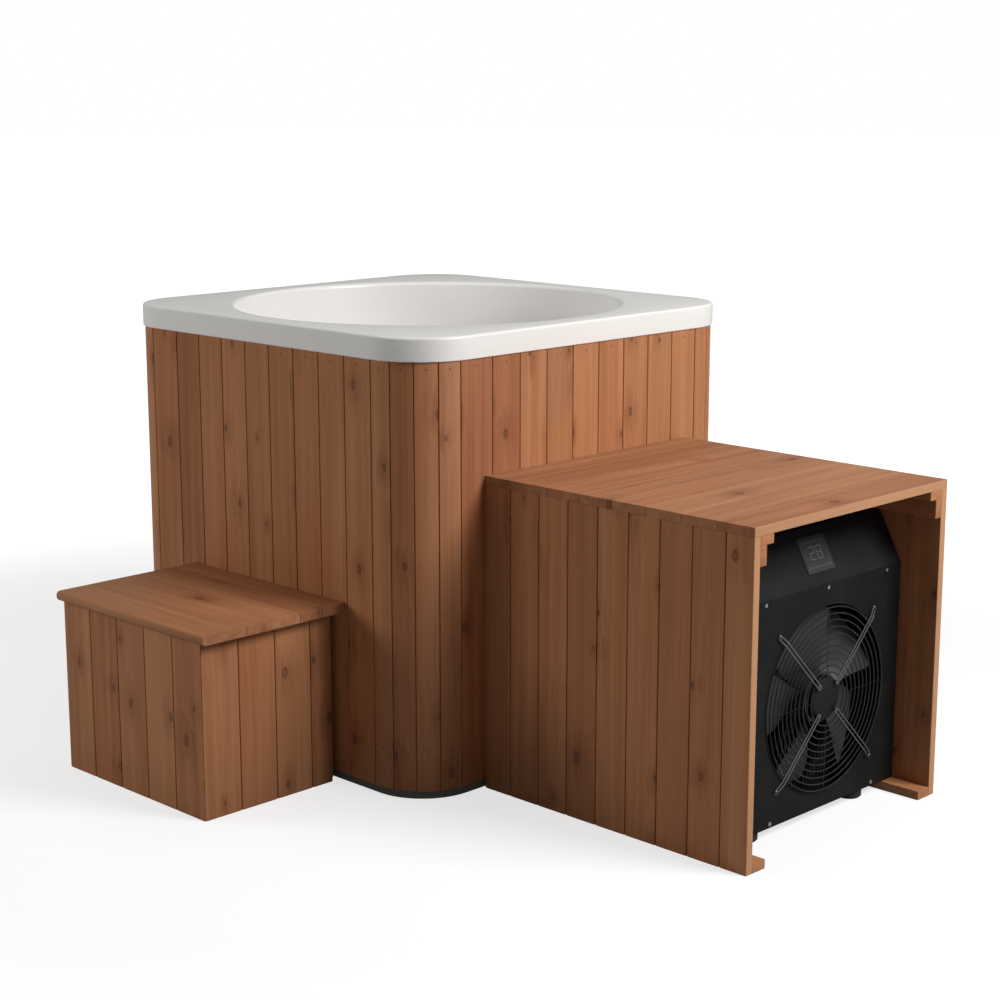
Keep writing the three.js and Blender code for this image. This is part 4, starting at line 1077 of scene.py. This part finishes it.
@dataclass
class StepBox:
    """Step box: board front and sides, posts inside and a lid with a rounded front edge."""

    half: float = 0.249
    front: float = -0.8878
    side_back: float = -0.5358
    back: float = -0.5183
    height: float = 0.3907
    panel: float = 0.018
    front_count: int = 5
    side_board: float = 0.098
    post: float = 0.04
    post_ease: float = 0.0012
    back_post_top: float = 0.364
    lid_low: float = 0.391
    lid_high: float = 0.4125
    lid_front: float = -0.9048
    lid_left: float = -0.252
    lid_right: float = 0.28
    lid_nose: float = 0.009
    nose_steps: int = 8
    lid_seams: tuple[float, ...] = (-0.79, -0.645)
    lid_ease: float = 0.0004
    glue_line: float = 0.00015
    clearance: float = 0.0003

    def build(self) -> None:
        """Makes the box and its lid."""
        self.make_front()
        self.make_side("step_side_right", 1, FirstBoard.STEP_RIGHT)
        self.make_side("step_side_left", -1, FirstBoard.STEP_LEFT)
        self.make_posts()
        self.make_lid()

    def make_front(self) -> None:
        """Makes the front's boards."""
        draft = Draft()
        width = 2 * self.half / self.front_count
        for i in range(self.front_count):
            low, high = -self.half + i * width, -self.half + (i + 1) * width
            first, last = i == 0, i == self.front_count - 1
            section = SEAM.section(low, high, self.panel, not first, not last)
            section = self.mitred(section, low if first else None, high if last else None)
            number = FirstBoard.STEP_FRONT + i
            draft.board(section, 0.0, self.height, lambda a, b, c: (a, self.front + b, c), number)
        draft.piece("step_front_boards", BOARDS, Body.STEP, Slot.BOARDS, ["step_front"])

    def make_side(self, node: str, hand: int, first: int) -> None:
        """Makes one side's boards.

        Args:
            node: The solid that it stands for.
            hand: One for the right side and minus one for the left.
            first: Number of its first board.
        """
        draft = Draft()
        seams = SEAM.places(self.front, self.side_board, self.side_board, self.side_back)
        for i, (low, high) in enumerate(zip(seams, seams[1:])):
            section = SEAM.section(low, high, self.panel, i > 0, i < len(seams) - 2)
            section = self.mitred(section, low if i == 0 else None, None)
            draft.board(
                section, 0.0, self.height, lambda a, b, c: (hand * (self.half - b), a, c), first + i
            )
        draft.piece(f"{node}_boards", BOARDS, Body.STEP, Slot.BOARDS, [node])

    def mitred(self, section: Corners, low: float | None, high: float | None) -> Corners:
        """Cuts a section's ends at 45 degrees where boards meet round the corner.

        Args:
            section: The section's corners.
            low: Where its low end is mitred, if it is.
            high: Where its high end is mitred, if it is.

        Returns:
            The mitred section's corners.
        """
        if low is not None:
            section = [(max(a, low + b + self.clearance), b) for a, b in section]
        if high is not None:
            section = [(min(a, high - b - self.clearance), b) for a, b in section]
        return section

    def make_posts(self) -> None:
        """Makes the four posts inside the box."""
        inner = self.half - self.panel - self.clearance
        front = self.front + self.panel + self.clearance
        back = self.side_back + self.panel - self.post
        rows = (
            ("front", front, front + self.post, self.height, FirstBoard.STEP_FRONT_POST),
            ("back", back, self.back, self.back_post_top, FirstBoard.STEP_BACK_POST),
        )
        for hand, name in ((-1, "left"), (1, "right")):
            x0, x1 = sorted((hand * inner, hand * (inner - self.post)))
            for row, y0, y1, top, number in rows:
                draft = Draft()
                section = eased_section(x0, x1, y0, y1, self.post_ease)
                draft.board(section, 0.0, top, lambda a, b, c: (a, b, c), number + hand)
                node = f"step_{row}_post_{name}"
                draft.piece(f"{node}_lumber", BOARDS, Body.STEP, Slot.LUMBER, [node])

    def nose(self) -> Corners:
        """Draws the lid's rounded front edge from its top to its foot.

        Returns:
            The corners in order.
        """
        corners = []
        for k in range(self.nose_steps + 1):
            turn = math.pi / 2 + math.pi * k / self.nose_steps
            upper = k <= self.nose_steps // 2
            height = self.lid_high - self.lid_nose if upper else self.lid_low + self.lid_nose
            y = self.lid_front + self.lid_nose * (1 + math.cos(turn))
            corners.append((y, height + self.lid_nose * math.sin(turn)))
        return corners

    def make_lid(self) -> None:
        """Makes the lid from boards glued edge to edge, the first with a rounded nose."""
        draft = Draft()
        edges = [self.lid_front, *self.lid_seams, self.back]
        eased = self.lid_high - self.lid_ease
        for i, (y0, y1) in enumerate(zip(edges, edges[1:])):
            start = y0 + self.glue_line
            end = y1 - self.glue_line if y1 != self.back else y1
            section = [(start + self.lid_ease, self.lid_high), (start, eased), (start, self.lid_low)]
            if i == 0:
                section = self.nose()
            section += [(end, self.lid_low), (end, eased), (end - self.lid_ease, self.lid_high)]
            number = FirstBoard.STEP_LID + i
            draft.board(section, self.lid_left, self.lid_right, lambda a, b, c: (c, a, b), number)
        draft.piece("step_lid_boards", LID_BOARDS, Body.STEP, Slot.BOARDS, ["step_lid"])


@dataclass
class Hood:
    """Hood over the chiller: two board sides, a top, and battens in its corners."""

    back: float = 0.5183
    front: float = 1.2408
    y0: float = -0.326
    y1: float = 0.334
    top: float = 0.7
    panel: float = 0.019
    first_board: float = 0.076
    board: float = 0.0826
    top_count: int = 8
    narrow: float = 0.02
    wide: float = 0.041
    side_end_ease: float = 0.0006
    end_ease: float = 0.0008
    top_ease: float = 0.0004
    batten_ease: float = 0.001
    glue_line: float = 0.0001
    clearance: float = 0.0003

    def build(self) -> None:
        """Makes the sides, the top and the battens."""
        self.make_side("hood_side_near", self.y0, 1, FirstBoard.HOOD_NEAR)
        self.make_side("hood_side_far", self.y1, -1, FirstBoard.HOOD_FAR)
        self.make_top()
        self.make_battens()

    def is_front(self, middle: Vector) -> bool:
        """Tells whether a face lies on the hood's open front."""
        return middle.x > self.front - SEAM.ease / 2

    def make_side(self, node: str, face: float, inward: int, first: int) -> None:
        """Makes one side's boards.

        Args:
            node: The solid that it stands for.
            face: Where its outer face lies.
            inward: Which way it is thick.
            first: Number of its first board.
        """
        draft = Draft()
        seams = SEAM.places(self.back, self.first_board, self.board, self.front)
        high = self.top - self.panel - self.clearance
        for i, (low, end) in enumerate(zip(seams, seams[1:])):
            section = SEAM.section(low, end, self.panel, i > 0, i < len(seams) - 2)
            draft.board(
                section, 0.0, high, lambda a, b, c: (a, face + inward * b, c), first + i, self.side_end_ease
            )
        # The open front's faces get painted light, a lighter colour where the key lamp falls.
        draft.mark_painted_light(self.is_front)
        draft.piece(f"{node}_boards", BOARDS, Body.HOOD, Slot.BOARDS, [node])

    def make_top(self) -> None:
        """Makes the top from boards glued edge to edge, with the grain across the hood."""
        draft = Draft()
        low = self.top - self.panel
        width = (self.front - self.back) / self.top_count
        for i in range(self.top_count):
            x0, x1 = self.back + i * width + self.glue_line, self.back + (i + 1) * width - self.glue_line
            section = eased_section(x0, x1, low, self.top, self.top_ease)
            number = FirstBoard.HOOD_TOP + i
            draft.board(section, self.y0, self.y1, lambda a, b, c: (a, c, b), number, self.end_ease)
        # The open front's faces get painted light, a lighter colour where the key lamp falls.
        draft.mark_painted_light(self.is_front)
        draft.piece("hood_top_boards", LID_BOARDS, Body.HOOD, Slot.BOARDS, ["hood_top"])

    def make_battens(self) -> None:
        """Makes the blocks, battens and runners along both sides."""
        under = self.top - self.panel
        foot = under - self.narrow
        near = self.y0 + self.panel + self.clearance
        far = self.y1 - self.panel - self.clearance
        bars = (
            ("top_block", self.wide, foot, under - self.clearance),
            ("side_batten", self.narrow, foot - self.wide + self.clearance, foot - self.clearance),
            ("runner", self.wide, 0.0, self.narrow),
        )
        number = FirstBoard.HOOD_BATTEN
        for name, width, z0, z1 in bars:
            for hand, y0, y1 in (("near", near, near + width), ("far", far - width, far)):
                draft = Draft()
                section = eased_section(y0, y1, z0, z1, self.batten_ease)
                draft.board(
                    section, self.back, self.front, lambda a, b, c: (c, a, b), number, self.end_ease
                )
                number += 1
                node = f"hood_{name}_{hand}"
                draft.piece(f"{node}_lumber", BOARDS, Body.HOOD, Slot.LUMBER, [node])


@dataclass
class ChillerFront:
    """Where the chiller's front panel and its fan lie."""

    front: float = 1.1478
    middle: float = 0.05
    fan_height: float = 0.26

    def hub(self) -> Vector:
        """Returns the fan's middle on the panel's face."""
        return Vector((self.front, self.middle, self.fan_height))

    def at(self, x: float, radius: float, turn: float) -> Vector:
        """Finds a point in front of the panel by its radius and its angle from +Y towards +Z."""
        return self.hub() + Vector((x, radius * math.cos(turn), radius * math.sin(turn)))

    def facing_out(self, place: Vector) -> Matrix:
        """Places a form with its Z pointing out of the panel."""
        return Matrix.Translation(place) @ Matrix(((0, 0, 1), (1, 0, 0), (0, 1, 0))).to_4x4()


@dataclass
class ChillerFace(ChillerFront):
    """What sits on the chiller's case: screws, the rolled edge of the fan opening and the display."""

    fold: float = 0.509
    lean: float = math.radians(28.2)
    opening: float = 0.202
    edge_radius: float = 0.0024
    edge_out: float = 0.0012
    edge_sunk: float = 0.0005
    edge_steps: int = 96
    screws: tuple[tuple[float, float], ...] = (
        (-0.211, 0.5), (0.0, 0.5), (0.211, 0.5), (-0.18, 0.031), (0.18, 0.031),
    )
    screw_radius: float = 0.0036
    screw_facets: int = 20
    screw_profile: tuple[tuple[float, float], ...] = (
        (0.0, -0.001), (1.25, -0.001), (1.25, 0.0006), (1.0, 0.0008),
        (0.9, 0.0019), (0.5, 0.0026), (0.0, 0.0028),
    )
    display_width: float = 0.093
    display_height: float = 0.079
    display_middle: float = 0.042
    display_up: float = 0.066
    display_thickness: float = 0.0016
    display_ease: float = 0.0008
    display_gap: float = 0.0003
    mark_height: float = 0.0002
    mark_ease: float = 0.0001
    digits: tuple[tuple[float, str], ...] = ((-0.012, "abged"), (0.012, "abcdefg"))
    digit_up: float = 0.002
    digit_half_width: float = 0.0075
    digit_half_height: float = 0.0135
    digit_stroke: float = 0.0012
    rows: tuple[tuple[float, int], ...] = ((0.027, 7), (-0.027, 8))
    row_pitch: float = 0.0105
    row_bars: tuple[tuple[float, float, float, float], ...] = (
        (-0.0032, -0.0022, 0.0032, -0.0008), (-0.0014, 0.0006, 0.0026, 0.0022),
    )
    unit_bars: tuple[tuple[float, float, float, float], ...] = (
        (0.0235, 0.0115, 0.0275, 0.0125), (0.0235, 0.0150, 0.0275, 0.0160),
    )

    def build(self) -> None:
        """Makes the screws, the rolled edge and the display."""
        screws, edge = Draft(), Draft()
        profile = [(self.screw_radius * share, height) for share, height in self.screw_profile]
        for offset, z in self.screws:
            place = Vector((self.front, self.middle + offset, z))
            screws.turned(profile, self.facing_out(place), self.screw_facets)
        screws.piece("panel_screws", BRIGHT_STEEL, Body.TUB, Slot.WIRE)
        radius = self.opening + self.edge_out
        path = [self.at(-self.edge_sunk, radius, turn) for turn in full_turn(self.edge_steps)]
        edge.tube(path, self.edge_radius, looped=True)
        edge.piece("fan_opening_edge", SHEET_PAINT, Body.TUB, Slot.SHEET)
        self.make_display()

    def make_display(self) -> None:
        """Makes the display's plate and its lit marks."""
        up = Vector((-math.sin(self.lean), 0.0, math.cos(self.lean)))
        out = Vector((math.cos(self.lean), 0.0, math.sin(self.lean)))
        fold = Vector((self.front, self.display_middle, self.fold))
        axes = Matrix((Vector((0, 1, 0)), up, out)).transposed().to_4x4()
        place = Matrix.Translation(fold + up * self.display_up + out * self.display_gap) @ axes
        half_w, half_h, top = self.display_width / 2, self.display_height / 2, self.display_thickness
        plate, marks = Draft(), Draft()
        plate.slab((-half_w, -half_h, 0.0), (half_w, half_h, top), place, self.display_ease)
        plate.piece("display_plate", SCREEN, Body.TUB, Slot.SCREEN, ["display"])
        for x0, y0, x1, y1 in self.lit_bars():
            marks.slab((x0, y0, top), (x1, y1, top + self.mark_height), place, self.mark_ease)
        marks.piece("display_marks", MARKS, Body.TUB, Slot.SCREEN)

    def lit_bars(self) -> list[tuple[float, float, float, float]]:
        """Lists the lit bars of the digits, the two rows of marks and the unit.

        Returns:
            The lowest and highest corner of each bar on the display.
        """
        w, h, t = self.digit_half_width, self.digit_half_height, self.digit_stroke
        segments = {
            "a": (-w, h - t, w, h + t), "g": (-w, -t, w, t), "d": (-w, -h - t, w, -h + t),
            "b": (w - t, t, w + t, h - t), "c": (w - t, -h + t, w + t, -t),
            "f": (-w - t, t, -w + t, h - t), "e": (-w - t, -h + t, -w + t, -t),
        }
        placed = [(x, self.digit_up, segments[letter]) for x, lit in self.digits for letter in lit]
        for y, count in self.rows:
            for k in range(count):
                placed += [((k - (count - 1) / 2) * self.row_pitch, y, bar) for bar in self.row_bars]
        placed += [(0.0, 0.0, bar) for bar in self.unit_bars]
        return [(x + x0, y + y0, x + x1, y + y1) for x, y, (x0, y0, x1, y1) in placed]


@dataclass
class Fan(ChillerFront):
    """Fan in the chiller's front: wire guard, motor and swept blades."""

    guard: float = 0.197
    rings: int = 11
    ring_steps: int = 72
    pitch: float = 0.014
    wire: float = 0.0015
    ring_plane: float = 0.0055
    cross_wire: float = 0.0009
    cross_sunk: float = 0.0024
    strut_count: int = 4
    strut_reach: float = 0.233
    strut_inner: float = 0.044
    strut_spacing: float = 0.009
    strut_over: float = 0.00285
    strut_foot: float = 0.0022
    strut_drop: float = 0.1
    strut_steps: int = 8
    screw_neck: float = 0.0032
    screw_heads: tuple[float, float] = (0.0052, 0.0066)
    screw_profile: tuple[tuple[float, float], ...] = (
        (0.0032, -0.002), (0.0052, -0.002), (0.0052, -0.0006), (0.004, 0.0006), (0.0, 0.001),
    )
    screw_facets: int = 18
    motor_radius: float = 0.047
    motor_face: float = 0.0022
    motor_back: float = -0.0578
    motor_edge: float = 0.003
    motor_rim: tuple[tuple[float, float], ...] = ((0.0, -0.004), (0.001, -0.0016), (0.004, 0.0))
    rotor_front: float = -0.012
    rotor_end: float = -0.0718
    drum_inner: float = 0.049
    drum_outer: float = 0.055
    drum_edge: float = 0.003
    drum_gap: float = 0.002
    shaft: float = 0.005
    shaft_gap: float = 0.0003
    facets: int = 64
    blades: int = 5
    tip: float = 0.19
    root_sunk: float = 0.003
    arc: float = math.radians(58)
    tip_narrowing: float = 0.16
    turn: float = math.radians(42)
    slant: float = 0.042
    sweep: float = math.radians(-9)
    camber: float = 0.006
    thickness: float = 0.0026
    thinnest: float = 0.25
    blade_rows: int = 14
    blade_columns: int = 10

    def build(self) -> None:
        """Makes the guard, the motor and the rotor."""
        self.make_guard()
        self.make_motor()
        self.make_rotor()

    def make_guard(self) -> None:
        """Makes the guard's rings, its thin cross wires and its double struts."""
        rings, struts, screws = Draft(), Draft(), Draft()
        radii = [self.guard - i * self.pitch for i in range(self.rings)]
        for radius in radii:
            path = [self.at(self.ring_plane, radius, t) for t in full_turn(self.ring_steps)]
            rings.tube(path, self.wire, looped=True)
        behind = self.ring_plane - self.cross_sunk
        for cross in full_turn(self.strut_count):
            path = [self.at(behind, radius, cross) for radius in (radii[-1], radii[0])]
            rings.tube(path, self.cross_wire, 6)
            self.strut(struts, screws, cross + math.pi / self.strut_count)
        rings.piece("guard_rings", WIRE, Body.TUB, Slot.WIRE, ["fan_guard"])
        struts.piece("guard_struts", STRUT, Body.TUB, Slot.WIRE)
        screws.piece("guard_screws", DARK_STEEL, Body.TUB, Slot.WIRE)

    def strut(self, struts: Draft, screws: Draft, turn: float) -> None:
        """Adds one strut: a loop of wire with an eye on the panel and one on the motor.

        Args:
            struts: The piece that the wires join.
            screws: The piece that the screws join.
            turn: The strut's direction.
        """
        along = Vector((0.0, math.cos(turn), math.sin(turn)))
        side = Vector((0.0, -math.sin(turn), math.cos(turn)))
        out = Vector((1.0, 0.0, 0.0))
        over, half, steps = self.ring_plane + self.strut_over, self.strut_spacing / 2, self.strut_steps

        def leg(hand: int) -> list[Vector]:
            """Draws one wire from the motor to the panel, where it drops to the sheet."""
            wire = []
            for k in range(steps + 1):
                reach = self.strut_inner + (self.strut_reach - self.strut_inner) * k / steps
                drop = max(0.0, (k / steps - (1 - self.strut_drop)) / self.strut_drop)
                lift = over * (1 - drop) + self.strut_foot * drop
                wire.append(self.hub() + along * reach + side * half * hand + out * lift)
            return wire

        def eye(reach: float, lift: float, hand: int) -> list[Vector]:
            """Bends the wire round one end."""
            bends = [math.pi * k / steps for k in range(1, steps)]
            spokes = [(along * math.sin(bend) + side * math.cos(bend)) * hand for bend in bends]
            return [self.hub() + along * reach + spoke * half + out * lift for spoke in spokes]

        path = leg(1) + eye(self.strut_reach, self.strut_foot, 1)
        path += leg(-1)[::-1] + eye(self.strut_inner, over, -1)
        struts.tube(path, self.wire, looped=True)
        seats = ((self.strut_reach, 0.0), (self.strut_inner, self.motor_face))
        for (reach, lift), head in zip(seats, self.screw_heads):
            profile = [(0.0, 0.0), (self.screw_neck, 0.0)]
            profile += [(radius, head + height) for radius, height in self.screw_profile]
            seat = self.facing_out(self.hub() + along * reach + out * lift)
            screws.turned(profile, seat, self.screw_facets)

    def make_motor(self) -> None:
        """Makes the motor's can with a rounded edge and a shaft."""
        draft = Draft()
        r, edge, face = self.motor_radius, self.motor_edge, self.motor_face
        profile = [(0.0, self.rotor_end), (self.shaft, self.rotor_end), (self.shaft, self.motor_back)]
        profile += [(r - edge, self.motor_back), (r, self.motor_back + edge)]
        profile += [(r - inset, face + height) for inset, height in self.motor_rim] + [(0.0, face)]
        draft.turned(profile, self.facing_out(self.hub()), self.facets)
        draft.piece("fan_motor_can", MOTOR, Body.TUB, Slot.MOTOR, ["fan_motor"])

    def make_rotor(self) -> None:
        """Makes the rotor's drum and blades."""
        draft = Draft()
        bore, inner, outer = self.shaft + self.shaft_gap, self.drum_inner, self.drum_outer
        front, end, edge = self.rotor_front, self.rotor_end, self.drum_edge
        behind = self.motor_back - self.drum_gap
        outline = [(bore, end), (outer - edge, end), (outer, end + edge), (outer, front)]
        outline += [(inner, front), (inner, behind), (bore, behind)]
        turns = full_turn(self.facets)
        draft.skin([[tuple(self.at(x, r, t)) for t in turns] for r, x in outline], looped=True)
        for k in range(self.blades):
            self.blade(draft, self.turn + 2 * math.pi * k / self.blades)
        draft.piece("fan_blades", BLADE, Body.FAN, Slot.BLADE, ["fan_rotor"])

    def blade(self, draft: Draft, turn: float) -> None:
        """Adds one blade with a rounded outline.

        Args:
            draft: The piece that it joins.
            turn: The blade's direction.
        """
        middle = (self.rotor_front + self.rotor_end) / 2
        root = self.drum_outer - self.root_sunk
        rings: list[list[Point]] = []
        for i in range(self.blade_rows + 1):
            share = i / self.blade_rows
            radius = root + (self.tip - root) * share
            width = self.arc * (1.0 - self.tip_narrowing * share ** 6)
            front_row, back_row = [], []
            for j in range(self.blade_columns + 1):
                u = j / self.blade_columns - 0.5
                angle = turn + u * width + share ** 2 * self.sweep
                x = middle - u * self.slant - self.camber * (0.25 - u * u) * 4
                half = self.thickness / 2 * max(self.thinnest, 1 - (2 * abs(u)) ** 6)
                front_row.append(tuple(self.at(x + half, radius, angle)))
                back_row.append(tuple(self.at(x - half, radius, angle)))
            rings.append(front_row + back_row[::-1])
        draft.skin(rings)


@dataclass(frozen=True)
class Lamp:
    """A square soft lamp; glossy surfaces don't show a matte one."""

    name: str
    place: Point
    size: float
    power: float
    matte: bool = True

    def hang(self, aim: Vector) -> None:
        """Adds the lamp.

        Args:
            aim: Where it points.
        """
        data = bpy.data.lights.new(self.name, "AREA")
        data.size = self.size
        data.energy = self.power
        lamp = bpy.data.objects.new(self.name, data)
        lamp.location = self.place
        lamp.visible_glossy = not self.matte
        lamp.rotation_euler = (aim - Vector(self.place)).to_track_quat("-Z", "Y").to_euler()
        bpy.context.scene.collection.objects.link(lamp)


@dataclass
class Studio:
    """Pale floor, white surroundings, soft lamps and the camera at the photographed angle."""

    camera_place: Point = (3.5395, -3.3356, 1.5452)
    yaw: float = 0.7798
    pitch: float = math.radians(11.895)
    focal_pixels: float = 2039.7
    sensor: float = 36.0
    sight: float = 200.0
    lamps: tuple[Lamp, ...] = (
        Lamp("key_lamp", (3.75, 0.95, 3.1), 1.7, 168.0, matte=False),
        Lamp("fill_lamp", (-3.4, -4.0, 2.1), 2.0, 104.0),
        Lamp("top_lamp", (0.3, 0.3, 4.2), 2.4, 28.0),
    )
    lamp_aim: Point = (0.35, -0.1, 0.5)
    floor_reach: float = 40.0
    floor_shade: float = 0.36
    near_glow: float = 0.7
    far_glow: float = 1.05
    glow_from: float = 1.4
    glow_to: float = 3.2
    world_strength: float = 0.1
    gloss_share: float = 0.25

    def build(self) -> None:
        """Makes the floor, the world, the lamps and the camera."""
        self.make_floor()
        self.make_world()
        for lamp in self.lamps:
            lamp.hang(Vector(self.lamp_aim))
        self.make_camera()

    def background_share(self, graph: Graph) -> Socket:
        """Finds how much of the white background a ray meets.

        Args:
            graph: The tree that asks.

        Returns:
            One for the camera's rays, a part for those off gloss or through glass, and zero for the rest.
        """
        camera = graph.add("ShaderNodeLightPath", output="Is Camera Ray")
        gloss, glass = camera.sibling("Is Glossy Ray"), camera.sibling("Is Transmission Ray")
        return camera + (gloss + glass) * self.gloss_share

    def make_floor(self) -> None:
        """Makes the floor, which glows for the camera so that it is white where no shadow falls."""
        mesh = bpy.data.meshes.new("floor")
        reach = self.floor_reach
        corners = [(-reach, -reach, 0), (reach, -reach, 0), (reach, reach, 0), (-reach, reach, 0)]
        mesh.from_pydata(corners, [], [[0, 1, 2, 3]])
        floor = bpy.data.objects.new("floor", mesh)
        bpy.context.scene.collection.objects.link(floor)
        material = bpy.data.materials.new("floor_white")
        graph = Graph(material)
        diffuse = graph.add("ShaderNodeBsdfDiffuse", {}, {"Color": (self.floor_shade,) * 3})
        point = graph.object_point()
        away = graph.add("ShaderNodeVectorMath", {"operation": "LENGTH"}, {0: point}, "Value")
        gain = (self.far_glow - self.near_glow) * graph.fade(away, self.glow_from, self.glow_to)
        strength = self.background_share(graph) * (self.near_glow + gain)
        glow = graph.add("ShaderNodeEmission", {}, {"Color": WHITE, "Strength": strength})
        both = graph.add("ShaderNodeAddShader", {}, {0: diffuse, 1: glow})
        graph.add("ShaderNodeOutputMaterial", {}, {0: both})
        mesh.materials.append(material)

    def make_world(self) -> None:
        """Makes surroundings that look white and give soft light."""
        world = bpy.data.worlds.new("studio")
        bpy.context.scene.world = world
        graph = Graph(world)
        strength = self.background_share(graph) * (1.0 - self.world_strength) + self.world_strength
        back = graph.add("ShaderNodeBackground", {}, {"Color": WHITE, "Strength": strength})
        graph.add("ShaderNodeOutputWorld", {}, {0: back})

    def make_camera(self) -> None:
        """Makes the camera."""
        data = bpy.data.cameras.new("camera")
        data.sensor_width = self.sensor
        data.lens = self.focal_pixels / PHOTO_PIXELS * self.sensor
        data.clip_end = self.sight
        camera = bpy.data.objects.new("camera", data)
        level = math.cos(self.pitch)
        forward = Vector((-math.sin(self.yaw) * level, math.cos(self.yaw) * level, -math.sin(self.pitch)))
        camera.location = self.camera_place
        camera.rotation_euler = forward.to_track_quat("-Z", "Y").to_euler()
        bpy.context.scene.collection.objects.link(camera)
        bpy.context.scene.camera = camera


def dress_solids(nodes: dict[str, bpy.types.Object]) -> None:
    """Gives each solid that stays in view its finish.

    Args:
        nodes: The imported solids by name.
    """
    for finish, names in CAD_FINISHES.items():
        for name in names:
            mesh = nodes[name].data
            mesh.materials.clear()
            mesh.materials.append(finish.material())


def main() -> None:
    """Builds every sub-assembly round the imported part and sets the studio."""
    logging.basicConfig(level=logging.INFO, format="%(name)s: %(message)s")
    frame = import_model()
    dress_solids(frame["nodes"])
    for assembly in (TubShell(), TubBoards(), StepBox(), Hood(), ChillerFace(), Fan(), Studio()):
        assembly.build()
    bpy.context.scene.view_settings.view_transform = "Standard"


if __name__ == "__main__":
    main()
